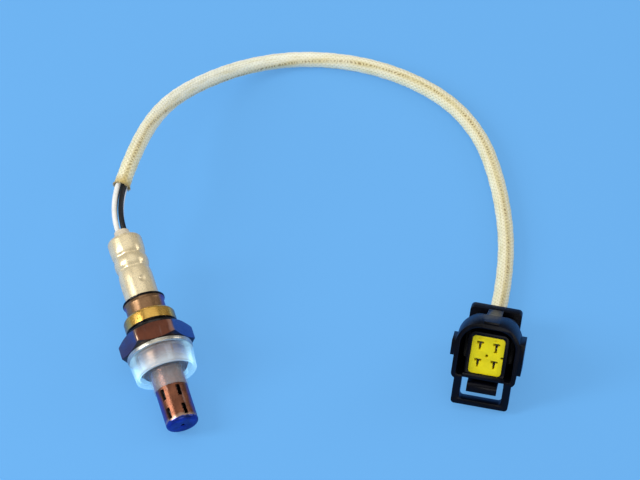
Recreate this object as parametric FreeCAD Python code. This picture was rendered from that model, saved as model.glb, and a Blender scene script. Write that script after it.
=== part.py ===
import FreeCAD, Part
import math
import os
from FreeCAD import Placement, Rotation, Vector

# Heated four-wire oxygen sensor, lying on its thread protector and probe tip.
# Millimetres, +Z up. The sensor's axis lies in the Y-Z plane with the probe towards -Y.
# The origin is under the middle of the sensor, on the surface that it lies on.
#
# Each sensor piece is drawn about its own axis first: w is the distance along the
# axis from the hex's sealing face, positive towards the wires, and r is the radius.

# Hex, collar and thread
hex_across_flats = 22.0
hex_height = 6.0
hex_chamfer_angle = 30.0
hex_chamfer_bow = 0.03
collar_radius = 8.0
collar_height = 11.5
band_radius = 9.4
band_top = 7.5
collar_lip_radius = 5.7
collar_lip_height = 0.9
thread_radius = 9.0
thread_bottom = -7.1
thread_chamfer = 0.9
relief_radius = 7.9
relief_length = 2.0
nose_radius = 7.5
nose_bottom = -7.7
nose_bore = 5.7
bore_radius = 6.4
throat_radius = 5.0
seat_top = -1.6
shroud_seat = -5.3

# Gasket
gasket_radius = 11.2
gasket_bore = 8.1
gasket_thickness = 1.8

# Crimp ring round the foot of the lower sleeve
ring_radius = 8.8
ring_lip = 0.9
ring_edge = 0.9

# Lower sleeve
lower_sleeve_radius = 6.65
lower_sleeve_wall = 0.5
lower_sleeve_top = 19.0
foot_thickness = 0.5
foot_radius = 7.9
rim_radius = 7.25
rim_height = 0.6
rim_flare = 0.9

# Upper sleeve
upper_sleeve_radius = 5.75
upper_sleeve_wall = 0.45
upper_sleeve_top = 43.0
upper_sleeve_bottom = 12.6
flare_start = 17.0
flare_end = 15.4
end_curl = 1.1
crimp_stations = (35.6, 31.0)
crimp_depths = (0.8, 0.6)
jaw_radius = 1.5
jaw_count = 8
bulge_height = 0.18
dimple_station = 25.0
dimple_count = 4
dimple_depth = 0.3
dimple_ball = 1.2
dimple_turn = 18.0

# Wires and grommet
wire_radius = 0.9
wire_spread = 1.1
wire_setback = 0.3
grommet_gap = 0.4
grommet_neck = 3.2
grommet_end = 46.2
grommet_neck_edge = 0.6

# Outer shroud of the probe
shroud_radius = 5.45
shroud_wall = 0.5
shroud_tip = -28.0
shroud_end_wall = 0.7
shroud_edge = 1.1
shroud_flange = 6.6
shroud_flange_thickness = 0.5
tip_hole_radius = 0.75
louvre_count = 6
louvre_rows = (3.7, 10.6)
louvre_length = 3.9
louvre_width = 1.5
louvre_bend = 34.0
louvre_turn = 30.0

# Inner shroud
inner_radius = 3.85
inner_wall = 0.4
inner_flange_thickness = 0.4
inner_tip_gap = 1.2
inner_end_wall = 0.5
inner_hole_radius = 0.8
inner_hole_count = 4
inner_hole_from_tip = 5.0
inner_end_hole_radius = 0.6

# Sensing element and heater
element_tip_radius = 2.3
element_neck_radius = 2.9
element_cone = 1.4
element_shoulder_top = 1.0
element_upper_radius = 4.0
element_top = 12.0
element_tip_gap = 2.0
element_bore = 1.65
element_end_wall = 1.4
heater_radius = 1.5
heater_tip_gap = 0.4
heater_top = 17.6

# Packing between element and shell
talc_height = 4.5
bush_top = 10.55

# Terminal insulator and contacts
insulator_radius = 5.15
insulator_bottom = 13.4
insulator_top = 24.0
insulator_bore = 2.0
slot_radius = 3.5
slot_width = 1.8
strip_thickness = 0.3
strip_width = 1.4
strip_radius = 2.63
strip_knee = 20.4
barrel_gap = 0.5
barrel_length = 3.1
barrel_wall = 0.15

# Thread protector
protector_top = -2.1
protector_rim = -9.05
protector_wall = 0.95
protector_clearance = 1.05
protector_taper = 0.7
protector_edge = 0.3
web_thickness = 0.6
protector_neck_wall = 0.6
protector_neck_end = -14.8
protector_grips = 6
grip_width = 1.6
grip_setback = 0.8
grip_turn = 10.0

# Clearances
slip = 0.05
gap = 0.1

# Stations and radii that follow from these sizes
protector_top_radius = thread_radius + protector_clearance + protector_wall
protector_rim_radius = protector_top_radius - protector_taper
barrel_bottom = insulator_top + barrel_gap
barrel_top = barrel_bottom + barrel_length
wire_start = barrel_bottom + wire_setback
grommet_bottom = barrel_top + grommet_gap

# Connector, measured in its own frame: x to the right seen from its mouth,
# y from the mouth backwards, z up, with the middle of the lock plate at x = z = 0
mouth_width = 21.4
mouth_top = 12.2
mouth_bottom = -8.4
mouth_corner_top = 8.0
mouth_corner_bottom = 2.0
hood_length = 9.0
hood_wall = 1.5
waist_width = 16.0
waist_top = 6.2
waist_bottom = -5.9
waist_corner = 3.0
waist_depth = 24.0
cavity_depth = 14.0
floor_opening = 14.0
floor_opening_depth = 2.2
rail_width = 1.3
rail_heights = ((-0.8, 4.4), (-4.4, 6.7))
rail_start = 1.2
rib_width = 5.0
rib_height = 0.6
plate_width = 10.9
plate_height = 13.4
plate_thickness = 2.4
plate_corner = 1.3
tower_wall = 1.25
tower_front = 3.0
tower_corner = 2.2
terminal_pitch_x = 5.4
terminal_pitch_z = 6.2
terminal_box = 2.4
terminal_box_length = 6.0
terminal_box_wall = 0.3
terminal_end = 15.6
wire_in_barrel = 1.6
seal_radius = 1.95
seal_front = 16.2
seal_back = 18.6
chamber_width = 9.6
chamber_height = 9.8
chamber_corner = 1.8
cap_thickness = 4.3
cap_width = 17.4
cap_top = 8.2
cap_bottom = -6.35
cap_corner = 1.4
cap_edge = 0.3
cap_plug = 1.8
plug_wall = 0.6
cap_back_wall = 1.5
entry_height = 1.1
cap_back = waist_depth + cap_thickness

# Guard loop and lock arm under the connector
loop_outer = 19.0
loop_side = 2.5
loop_bottom = -17.8
loop_bar = 1.8
loop_front = 1.5
loop_thickness = 4.5
loop_corner = 1.2
arm_width = 10.0
arm_drop = 13.1
arm_root = 13.0
arm_thickness = 1.6
arm_gap = 1.3
arm_pad = 2.4

# Slots and marks in the lock plate
tee_bar = 2.3
tee_bar_height = 0.9
tee_stem = 2.5
tee_point = 0.3
tee_foot = 1.2
plate_hole_radius = 0.5
plate_dimple_width = 1.5
plate_dimple_height = 0.4
plate_dimple_depth = 0.35
plate_dimple_rise = 1.25
plate_notch = 0.8

# How the connector lies: on a lower corner of its guard loop and one of its cap
connector_pitch = 27.5
connector_yaw = -27.5
connector_roll = 3.0
connector_x = 99.4
connector_y = -50.6

# Harness: the woven sleeve and the four wires in it, on one route
sleeve_radius = 3.0
sleeve_wall = 0.5
sleeve_in_cap = 1.2
exit_run = 9.0
entry_run = 7.5
arc_share = 0.45
sleeve_rest = sleeve_radius + gap
harness_route = (
    (9.9, 59.2, 32.0), (22.5, 79.9, 26.5), (35.0, 95.0, 20.0), (49.9, 106.6, 13.0), (67.6, 115.5, 6.5),
    (87.2, 117.0, sleeve_rest), (106.4, 108.9, sleeve_rest), (122.1, 95.9, sleeve_rest),
    (133.6, 78.6, sleeve_rest), (138.0, 58.9, sleeve_rest), (136.4, 38.5, sleeve_rest),
    (132.3, 19.1, sleeve_rest), (127.4, 4.2, sleeve_rest), (120.9, -10.1, sleeve_rest + gap))


# How the sensor is rolled about its axis, so that a flat faces up and a little to -X
sensor_roll = 6.5


def unit(vector):
    return vector.normalize() if vector.Length > 0 else vector


def rounded_edges(points, radii, closed=False):
    # straight edges joined by tangent arcs, with one radius for each point
    count = len(points)
    starts = list(points)
    ends = list(points)
    arcs = [None] * count
    for index in range(count):
        inner = closed or 0 < index < count - 1
        if not inner or radii[index] <= 0:
            continue
        corner = points[index]
        back = unit(points[index - 1] - corner)
        ahead = unit(points[(index + 1) % count] - corner)
        half = (math.pi - back.getAngle(ahead)) / 2
        if half < 1e-6:
            continue
        reach = radii[index] * math.tan(half)
        starts[index] = corner + back * reach
        ends[index] = corner + ahead * reach
        lift = radii[index] * (1 / math.cos(half) - 1)
        middle = corner + unit(back + ahead) * lift
        arcs[index] = Part.Arc(starts[index], middle, ends[index]).toShape()
    edges = []
    for index in range(count):
        if arcs[index]:
            edges.append(arcs[index])
        if index == count - 1 and not closed:
            break
        target = (index + 1) % count
        if (starts[target] - ends[index]).Length > 1e-6:
            edges.append(Part.LineSegment(ends[index], starts[target]).toShape())
    return edges


def turned(outline):
    # a solid of revolution from (r, w) or (r, w, corner radius) points
    points = [Vector(spot[0], 0, spot[1]) for spot in outline]
    radii = [spot[2] if len(spot) > 2 else 0 for spot in outline]
    face = Part.Face(Part.Wire(rounded_edges(points, radii, True)))
    return face.revolve(Vector(0, 0, 0), Vector(0, 0, 1), 360)


def rod(radius, bottom, top):
    return Part.makeCylinder(radius, top - bottom, Vector(0, 0, bottom))


def pipe(outer, inner, bottom, top):
    return rod(outer, bottom, top).cut(rod(inner, bottom - 1, top + 1))


def bowed(start, end, bow):
    # an arc that swells past the straight line by bow, to its right-hand side
    run = unit(end - start)
    middle = (start + end) * 0.5 + Vector(run.z, 0, -run.x) * bow
    return Part.Arc(start, middle, end).toShape()


def polar(radius, angle, w=0.0):
    return Vector(radius * math.cos(math.radians(angle)), radius * math.sin(math.radians(angle)), w)


def spun(shape, angle):
    return shape.rotated(Vector(0, 0, 0), Vector(0, 0, 1), angle)


def hexagon(across_flats, bottom, top):
    corner = across_flats / math.sqrt(3)
    points = [polar(corner, 30 + 60 * side, bottom) for side in range(6)]
    face = Part.Face(Part.makePolygon(points + points[:1]))
    return face.extrude(Vector(0, 0, top - bottom))


# Sensor pieces

def metal_shell():
    corner = hex_across_flats / math.sqrt(3)
    slope = math.tan(math.radians(hex_chamfer_angle))
    drop = (corner - hex_across_flats / 2 + gap) * slope
    flat = hex_across_flats / 2 - gap
    spots = [Vector(0, 0, 0), Vector(flat, 0, 0), Vector(corner + gap, 0, drop)]
    spots += [Vector(spot.x, 0, hex_height - spot.z) for spot in reversed(spots)]
    sides = [Part.LineSegment(spots[each], spots[(each + 1) % 6]).toShape() for each in (0, 2, 4, 5)]
    sides[1:1] = [bowed(spots[1], spots[2], hex_chamfer_bow)]
    sides[3:3] = [bowed(spots[3], spots[4], hex_chamfer_bow)]
    dome = Part.Face(Part.Wire(sides)).revolve(Vector(0, 0, 0), Vector(0, 0, 1), 360)
    nut = hexagon(hex_across_flats, 0, hex_height).common(dome)
    stem = turned([
        (0, nose_bottom), (nose_radius, nose_bottom), (nose_radius, thread_bottom),
        (thread_radius - thread_chamfer, thread_bottom),
        (thread_radius, thread_bottom + thread_chamfer),
        (thread_radius, -relief_length - thread_chamfer),
        (relief_radius, -relief_length), (relief_radius, 0), (band_radius, 0),
        (band_radius, band_top, gap * 3), (collar_radius, band_top),
        (collar_radius, collar_height), (0, collar_height)])
    seat_drop = bore_radius - throat_radius
    flange_room = inner_flange_thickness + shroud_flange_thickness + slip
    hollow = turned([
        (0, nose_bottom - 1), (nose_bore, nose_bottom - 1), (nose_bore, shroud_seat - flange_room),
        (shroud_flange + gap, shroud_seat - flange_room), (shroud_flange + gap, shroud_seat),
        (throat_radius, shroud_seat), (throat_radius, seat_top - seat_drop),
        (bore_radius, seat_top), (bore_radius, collar_height - collar_lip_height),
        (collar_lip_radius, collar_height - collar_lip_height),
        (collar_lip_radius, collar_height + 1), (0, collar_height + 1)])
    return nut.fuse(stem).removeSplitter().cut(hollow)


def gasket():
    # a folded sheet-metal washer: two flat faces with a rounded rim
    round_edge = gasket_thickness / 2 - slip
    return turned([
        (gasket_bore, -gasket_thickness), (gasket_radius, -gasket_thickness, round_edge),
        (gasket_radius, 0, round_edge), (gasket_bore, 0)])


def crimp_ring():
    foot_top = collar_height + slip + foot_thickness + slip
    bore = lower_sleeve_radius + gap
    return turned([
        (collar_radius + slip, band_top + slip), (ring_radius, band_top + slip, ring_edge / 2),
        (ring_radius, foot_top + ring_lip, ring_edge), (bore, foot_top + ring_lip),
        (bore, foot_top), (collar_radius + slip, foot_top)])


def lower_sleeve():
    foot = collar_height + slip
    inside = lower_sleeve_radius - lower_sleeve_wall
    rim_bottom = lower_sleeve_top - rim_height
    return turned([
        (inside, foot), (foot_radius, foot), (foot_radius, foot + foot_thickness),
        (lower_sleeve_radius, foot + foot_thickness),
        (lower_sleeve_radius, rim_bottom - rim_flare), (rim_radius, rim_bottom),
        (rim_radius, lower_sleeve_top, rim_height / 3),
        (rim_radius - lower_sleeve_wall, lower_sleeve_top),
        (inside, rim_bottom - rim_flare)])


def crimped_form(inset, bottom, top):
    # the inside or outside of the crimped sleeve, as a solid lying inset below its skin
    radius = upper_sleeve_radius - inset
    flare = lower_sleeve_radius - lower_sleeve_wall - slip - inset
    first, second = crimp_stations
    crown = radius + bulge_height
    outline = [
        (0, upper_sleeve_bottom), (flare, upper_sleeve_bottom),
        (flare, flare_end, 1.0), (radius, flare_start, 1.0),
        (radius, second - jaw_radius, 3.0), (crown, (first + second) / 2, 2.0),
        (radius, first + jaw_radius, 2.0), (crown, first + 2 * jaw_radius, 3.0),
        (crown, upper_sleeve_top - end_curl, 2.0),
        (radius - end_curl / 2, upper_sleeve_top), (0, upper_sleeve_top)]
    form = turned(outline)
    jaws = []
    for station, depth in zip(crimp_stations, crimp_depths):
        reach = upper_sleeve_radius - depth + jaw_radius
        for jaw in range(jaw_count):
            angle = (jaw + 0.5) * 360 / jaw_count
            length = 2 * reach * math.tan(math.pi / jaw_count)
            axis = polar(1, angle + 90)
            start = polar(reach, angle, station) - axis * (length / 2)
            jaws.append(Part.makeCylinder(jaw_radius + inset, length, start, axis))
    ball = dimple_ball + inset
    centre = upper_sleeve_radius - dimple_depth + dimple_ball
    for mark in range(dimple_count):
        spot = polar(centre, dimple_turn + mark * 360 / dimple_count, dimple_station)
        jaws.append(Part.makeSphere(ball, spot))
    form = form.cut(jaws)
    if bottom > upper_sleeve_bottom or top < upper_sleeve_top:
        form = form.common(rod(2 * upper_sleeve_radius, bottom, top))
    return form


def upper_sleeve():
    skin = crimped_form(0, upper_sleeve_bottom, upper_sleeve_top)
    inside = crimped_form(upper_sleeve_wall, upper_sleeve_bottom, upper_sleeve_top)
    mouth = rod(grommet_neck + gap, upper_sleeve_bottom - 1, upper_sleeve_top + 1)
    return skin.cut(inside).cut(mouth)


def wire_spot(number):
    # where one of the four wires crosses a plane square to the bundle
    return polar(wire_spread * math.sqrt(2), 45 + 90 * number)


def wire_grommet():
    top = upper_sleeve_top - upper_sleeve_wall
    body = crimped_form(upper_sleeve_wall + slip / 2, grommet_bottom, top)
    neck = turned([
        (0, top - 1), (grommet_neck, top - 1), (grommet_neck, grommet_end, grommet_neck_edge),
        (0, grommet_end)])
    body = body.fuse(neck)
    low = Vector(0, 0, grommet_bottom - 1)
    length = grommet_end - grommet_bottom + 2
    holes = [Part.makeCylinder(wire_radius, length, wire_spot(number) + low) for number in range(4)]
    return body.cut(holes)


def outer_shroud():
    inside = shroud_radius - shroud_wall
    top = shroud_seat - inner_flange_thickness
    flange = top - shroud_flange_thickness
    body = turned([
        (inside, top), (shroud_flange, top), (shroud_flange, flange), (shroud_radius, flange),
        (shroud_radius, shroud_tip, shroud_edge), (tip_hole_radius, shroud_tip),
        (tip_hole_radius, shroud_tip + shroud_end_wall),
        (inside, shroud_tip + shroud_end_wall, shroud_edge / 2)])
    windows = []
    flaps = []
    middle = shroud_radius - shroud_wall / 2
    for row in louvre_rows:
        low = shroud_tip + row - louvre_length / 2
        for number in range(louvre_count):
            angle = louvre_turn + number * 360 / louvre_count
            window = Part.makeBox(
                3 * shroud_wall, louvre_width, louvre_length,
                Vector(shroud_radius - 2 * shroud_wall, -louvre_width / 2, low))
            windows.append(spun(window, angle))
            hinge = Vector(middle, -louvre_width / 2, low)
            flap = Part.makeBox(
                shroud_wall, louvre_width + slip, louvre_length - 2 * slip,
                Vector(middle - shroud_wall / 2, -louvre_width / 2 - slip, low + slip))
            flap = flap.rotated(hinge, Vector(0, 0, 1), louvre_bend)
            flaps.append(spun(flap, angle))
    return body.cut(windows).fuse(flaps).removeSplitter()


def inner_shroud():
    inside = inner_radius - inner_wall
    tip = shroud_tip + shroud_end_wall + inner_tip_gap
    top = shroud_seat
    body = turned([
        (inside, top), (shroud_flange, top), (shroud_flange, top - inner_flange_thickness),
        (inner_radius, top - inner_flange_thickness), (inner_radius, tip, shroud_edge),
        (inner_end_hole_radius, tip), (inner_end_hole_radius, tip + inner_end_wall),
        (inside, tip + inner_end_wall, shroud_edge / 2)])
    holes = []
    for number in range(inner_hole_count):
        angle = number * 360 / inner_hole_count
        holes.append(Part.makeCylinder(
            inner_hole_radius, 3, polar(inner_radius - 2, angle, tip + inner_hole_from_tip), polar(1, angle)))
    return body.cut(holes)


def element_tip():
    return shroud_tip + shroud_end_wall + inner_tip_gap + inner_end_wall + element_tip_gap


def element_outline_shoulder():
    # the shoulder's cone rests on the shell's conical seat
    return seat_top - (bore_radius - throat_radius) + slip


def sensing_element():
    tip = element_tip()
    shoulder = bore_radius - gap
    seat = element_outline_shoulder()
    throat = throat_radius - gap
    body = turned([
        (0, tip), (element_tip_radius, tip, element_tip_radius - slip),
        (element_neck_radius, shroud_seat + gap), (throat, shroud_seat + gap + element_cone),
        (throat, seat - gap + slip), (shoulder, seat - gap + slip + shoulder - throat),
        (shoulder, element_shoulder_top), (element_upper_radius, element_shoulder_top),
        (element_upper_radius, element_top), (0, element_top)])
    return body.cut(rod(element_bore, tip + element_end_wall, element_top + 1))


def heater_rod():
    low = element_tip() + element_end_wall + heater_tip_gap
    return turned([(0, low), (heater_radius, low, 0.4), (heater_radius, heater_top), (0, heater_top)])


def talc_seal():
    low = element_shoulder_top
    return pipe(bore_radius - slip, element_upper_radius + slip, low, low + talc_height)


def ceramic_bush():
    low = element_shoulder_top + talc_height
    return pipe(bore_radius - slip, element_upper_radius + slip, low, bush_top)


def terminal_insulator():
    body = turned([
        (0, insulator_bottom), (insulator_radius, insulator_bottom, 0.5),
        (insulator_radius, insulator_top, 0.5), (0, insulator_top)])
    slots = [rod(insulator_bore, insulator_bottom - 1, insulator_top + 1)]
    for number in range(4):
        slot = Part.makeBox(
            slot_radius, slot_width, 20, Vector(0, -slot_width / 2, insulator_bottom - 1))
        slots.append(spun(slot, 45 + 90 * number))
    return body.cut(slots)


def contact(number, finger):
    # a bent strip with a spring finger below and a crimp barrel round the wire above
    radial = [Vector(r, -strip_width / 2, w) for r, w in finger]
    thick = [Vector(r + strip_thickness, -strip_width / 2, w) for r, w in reversed(finger)]
    strip = Part.Face(Part.makePolygon(radial + thick + radial[:1]))
    strip = strip.extrude(Vector(0, strip_width, 0))
    pitch = wire_spread * math.sqrt(2)
    barrel = Part.makeCylinder(
        wire_radius + barrel_wall, barrel_top - barrel_bottom, Vector(pitch, 0, barrel_bottom))
    bore = Part.makeCylinder(wire_radius, barrel_top - barrel_bottom + 2, Vector(pitch, 0, barrel_bottom - 1))
    return spun(strip.fuse(barrel).cut(bore).removeSplitter(), 45 + 90 * number)


def heater_finger():
    return [
        (heater_radius + slip / 2, heater_top - 3.2), (heater_radius + slip / 2, heater_top - 1.6),
        (strip_radius - strip_thickness, strip_knee), (strip_radius - strip_thickness, barrel_top - 0.4)]


def electrode_finger():
    return [
        (slot_radius - 0.9, element_top + slip / 2), (slot_radius - 0.7, insulator_bottom + 1.6),
        (strip_radius - strip_thickness, strip_knee), (strip_radius - strip_thickness, barrel_top - 0.4)]


def thread_protector():
    web_top = nose_bottom - gap
    web_bottom = web_top - web_thickness
    neck = shroud_radius + slip
    neck_outer = neck + protector_neck_wall
    inner_top = protector_top_radius - protector_wall
    inner_rim = protector_rim_radius - protector_wall
    taper = (inner_top - inner_rim) / (protector_top - protector_rim)
    at_web_top = inner_rim + taper * (web_top - protector_rim)
    at_web_bottom = inner_rim + taper * (web_bottom - protector_rim)
    body = turned([
        (inner_top, protector_top), (protector_top_radius, protector_top, protector_edge),
        (protector_rim_radius, protector_rim, protector_edge), (inner_rim, protector_rim),
        (at_web_bottom, web_bottom), (neck_outer, web_bottom, 0.6), (neck_outer, protector_neck_end),
        (neck, protector_neck_end), (neck, web_top), (at_web_top, web_top)])
    grips = []
    low = web_top - slip
    high = protector_top - grip_setback
    section = [
        Vector(thread_radius + slip, 0, low), Vector(inner_top + slip, 0, low),
        Vector(inner_top + slip, 0, high), Vector(thread_radius + slip, 0, high)]
    section = Part.Face(Part.makePolygon(section + section[:1]))
    turn = math.degrees(grip_width / thread_radius)
    for number in range(protector_grips):
        grip = section.revolve(Vector(0, 0, 0), Vector(0, 0, 1), turn)
        grips.append(spun(grip, grip_turn + number * 360 / protector_grips))
    return body.fuse(grips).removeSplitter()


# Connector pieces

def rounded_block(width, low, high, front, back, corner_low, corner_high):
    # a bar along y whose section is a rounded rectangle
    face = rounded_section(width, low, high, front, corner_low, corner_high)
    return face.extrude(Vector(0, back - front, 0))


def rounded_section(width, low, high, y, corner_low, corner_high):
    half = width / 2
    points = [Vector(-half, y, low), Vector(half, y, low), Vector(half, y, high), Vector(-half, y, high)]
    radii = [corner_low, corner_low, corner_high, corner_high]
    return Part.Face(Part.Wire(rounded_edges(points, radii, True)))


def hood_loft(inset, front, back):
    # the flared hood: full section at the mouth, narrowing to the waist at the back
    stages = []
    sections = ((front, 0.0), (hood_length, 0.0), (back, 1.0))
    for y, share in sections:
        width = mouth_width + (waist_width - mouth_width) * share - 2 * inset
        top = mouth_top + (waist_top - mouth_top) * share - inset
        bottom = mouth_bottom + (waist_bottom - mouth_bottom) * share + inset
        corner_top = mouth_corner_top + (waist_corner - mouth_corner_top) * share - inset
        corner_bottom = mouth_corner_bottom + (waist_corner - mouth_corner_bottom) * share
        stages.append((y, width, bottom, top, max(corner_bottom - inset, 0.8), corner_top))
    first, second, third = stages
    collar = rounded_block(first[1], first[2], first[3], first[0], second[0], first[4], first[5])
    wires = []
    for y, width, bottom, top, corner_low, corner_high in (second, third):
        wires.append(rounded_section(width, bottom, top, y, corner_low, corner_high).OuterWire)
    return collar, Part.makeLoft(wires, True, True)


def terminal_spots():
    half_x = terminal_pitch_x / 2
    half_z = terminal_pitch_z / 2
    return [(half_x, half_z), (half_x, -half_z), (-half_x, -half_z), (-half_x, half_z)]


def lock_arm():
    # a strip that runs forward under the hood and hooks down into the thumb pad
    top = mouth_bottom - arm_gap
    root = mouth_bottom + hood_wall
    path = [
        Vector(0, arm_root, root), Vector(0, arm_root, top - arm_thickness),
        Vector(0, loop_front + arm_pad, top - arm_thickness), Vector(0, loop_front + arm_pad, -arm_drop),
        Vector(0, loop_front, -arm_drop), Vector(0, loop_front, top),
        Vector(0, arm_root - arm_thickness, top), Vector(0, arm_root - arm_thickness, root)]
    radii = [0, arm_thickness, arm_thickness / 2, 0.5, 0.5, arm_thickness, arm_thickness / 2, 0]
    face = Part.Face(Part.Wire(rounded_edges(path, radii, True)))
    arm = face.extrude(Vector(arm_width, 0, 0))
    arm.translate(Vector(-arm_width / 2, 0, 0))
    return arm


def guard_loop():
    half = loop_outer / 2
    top = mouth_bottom + hood_wall / 2
    outer = [
        Vector(-half, 0, top), Vector(-half, 0, loop_bottom), Vector(half, 0, loop_bottom),
        Vector(half, 0, top)]
    inner_half = half - loop_side
    inner_bottom = loop_bottom + loop_bar
    inner = [
        Vector(inner_half, 0, top + 1), Vector(inner_half, 0, inner_bottom),
        Vector(-inner_half, 0, inner_bottom), Vector(-inner_half, 0, top + 1)]
    plate = Part.Face(Part.Wire(rounded_edges(outer, [0, loop_corner, loop_corner, 0], True)))
    plate = plate.extrude(Vector(0, loop_thickness, 0))
    hole = Part.Face(Part.Wire(rounded_edges(inner, [0, loop_corner, loop_corner, 0], True)))
    hole = hole.extrude(Vector(0, loop_thickness + 2, 0))
    hole.translate(Vector(0, -1, 0))
    band = plate.cut(hole)
    band.translate(Vector(0, loop_front, 0))
    return band


def top_rib():
    # a flat rib along the top, level with the cap at the back
    half = rib_width / 2
    points = [
        Vector(-half, rail_start, mouth_top - 1), Vector(-half, hood_length, mouth_top - 1),
        Vector(-half, waist_depth, waist_top - 1), Vector(-half, waist_depth, cap_top),
        Vector(-half, rail_start, mouth_top + rib_height)]
    return Part.Face(Part.makePolygon(points + points[:1])).extrude(Vector(rib_width, 0, 0))


def connector_housing():
    collar, taper = hood_loft(0, 0, waist_depth)
    added = [taper, top_rib()]
    side = mouth_width / 2
    for sign, (low, high) in zip((-1, 1), rail_heights):
        added.append(Part.makeBox(
            2 * rail_width, hood_length - rail_start, high - low,
            Vector(sign * side - rail_width, rail_start, low)))
    shell = collar.fuse(added)
    collar_room, taper_room = hood_loft(hood_wall, -1, waist_depth)
    slab = Part.makeBox(4 * side, cavity_depth + 1, 4 * side, Vector(-2 * side, -1, -2 * side))
    opening = Part.makeBox(
        floor_opening, floor_opening_depth + 1, hood_wall + 2,
        Vector(-floor_opening / 2, -1, mouth_bottom - 1))
    shell = shell.cut([collar_room.fuse(taper_room).common(slab), opening])
    half = plate_height / 2
    tower = rounded_block(
        plate_width + 2 * tower_wall, -half - tower_wall, half + tower_wall, tower_front,
        cavity_depth + 1, tower_corner, tower_corner)
    shell = shell.fuse([tower, lock_arm(), guard_loop()])
    cuts = [rounded_block(
        plate_width + 2 * slip, -half - slip, half + slip, tower_front - 1,
        tower_front + plate_thickness + slip, plate_corner, plate_corner)]
    bore = terminal_box + 2 * slip
    for x, z in terminal_spots():
        cuts.append(Part.makeBox(
            bore, seal_front + 1 - tower_front, bore, Vector(x - bore / 2, tower_front, z - bore / 2)))
        cuts.append(Part.makeCylinder(
            seal_radius, seal_back + 1 - seal_front, Vector(x, seal_front, z), Vector(0, 1, 0)))
    cuts.append(rounded_block(
        chamber_width, -chamber_height / 2, chamber_height / 2, seal_back + gap, waist_depth + 1,
        chamber_corner, chamber_corner))
    return shell.cut(cuts).removeSplitter()


def tee_slot(x, z, with_foot):
    front = tower_front - 1
    deep = plate_thickness + 2
    half = tee_bar_height / 2
    bar = Part.makeBox(tee_bar, deep, tee_bar_height, Vector(x - tee_bar / 2, front, z - half))
    stem_points = [
        Vector(x - half, front, z), Vector(x + half, front, z),
        Vector(x + tee_point, front, z - tee_stem), Vector(x - tee_point, front, z - tee_stem)]
    pieces = [Part.Face(Part.makePolygon(stem_points + stem_points[:1])).extrude(Vector(0, deep, 0))]
    if with_foot:
        pieces.append(Part.makeBox(
            tee_foot, deep, half, Vector(x - tee_foot / 2, front, z - tee_stem - half)))
    return bar.fuse(pieces).removeSplitter()


def terminal_lock():
    # the plate that is pushed in over the terminals and locks them
    plate = rounded_block(
        plate_width, -plate_height / 2, plate_height / 2, tower_front,
        tower_front + plate_thickness, plate_corner, plate_corner)
    cuts = [Part.makeCylinder(
        plate_hole_radius, plate_thickness + 2, Vector(0, tower_front - 1, 0), Vector(0, 1, 0))]
    for number, (x, z) in enumerate(terminal_spots()):
        tee = z + tee_stem / 2
        cuts.append(tee_slot(x, tee, number == 0))
        if z > 0:
            cuts.append(Part.makeBox(
                plate_dimple_width, plate_dimple_depth + 1, plate_dimple_height,
                Vector(x - plate_dimple_width / 2, tower_front - 1, tee + plate_dimple_rise)))
    cuts.append(Part.makeBox(
        plate_notch + 1, plate_thickness + 2, plate_notch,
        Vector(plate_width / 2 - plate_notch, tower_front - 1, -plate_notch / 2)))
    return plate.cut(cuts)


def wire_stop():
    return tower_front + plate_thickness + terminal_box_length + wire_in_barrel


def female_terminal(number):
    x, z = terminal_spots()[number]
    front = tower_front + plate_thickness + 2 * slip
    back = front + terminal_box_length
    half = terminal_box / 2
    box = Part.makeBox(terminal_box, terminal_box_length, terminal_box, Vector(x - half, front, z - half))
    inside = half - terminal_box_wall
    hollow = Part.makeBox(
        2 * inside, terminal_box_length - 1, 2 * inside, Vector(x - inside, front - slip, z - inside))
    barrel = Part.makeCylinder(half - slip, terminal_end - back, Vector(x, back, z), Vector(0, 1, 0))
    bore = Part.makeCylinder(wire_radius, terminal_end, Vector(x, wire_stop(), z), Vector(0, 1, 0))
    return box.cut(hollow).fuse(barrel).cut(bore).removeSplitter()


def wire_seal(number):
    # a sleeve seal round one wire, in its own round bore
    x, z = terminal_spots()[number]
    length = seal_back - seal_front
    body = Part.makeCylinder(seal_radius, length, Vector(x, seal_front, z), Vector(0, 1, 0))
    return body.cut(Part.makeCylinder(wire_radius, 3 * length, Vector(x, seal_front - length, z), Vector(0, 1, 0)))


def seal_retainer():
    # the cap that closes the back: a flange with a plug that fits the chamber
    front = waist_depth
    cap = rounded_block(cap_width, cap_bottom, cap_top, front, cap_back, cap_corner, cap_corner)
    cap = cap.makeFillet(cap_edge, [edge for edge in cap.Edges if edge.BoundBox.YMin > cap_back - 0.01])
    half = chamber_height / 2 - slip
    plug = rounded_block(
        chamber_width - 2 * slip, -half, half, front - cap_plug, front + 1, chamber_corner, chamber_corner)
    room = rounded_block(
        chamber_width - 2 * slip - 2 * plug_wall, plug_wall - half, half - plug_wall,
        front - cap_plug - 1, cap_back - cap_back_wall, 1.0, 1.0)
    hole = Part.makeCylinder(
        sleeve_radius + slip, cap_back, Vector(0, front - cap_plug, entry_height), Vector(0, 1, 0))
    return cap.fuse(plug).cut([room, hole]).removeSplitter()


# Harness pieces

def corner_radii(points):
    # each arc takes up a fixed share of the shorter straight run beside it
    radii = [0] * len(points)
    for index in range(1, len(points) - 1):
        before = points[index] - points[index - 1]
        after = points[index + 1] - points[index]
        shorter = min(before.Length, after.Length)
        radii[index] = arc_share * shorter / math.tan(before.getAngle(after) / 2)
    return radii


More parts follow.
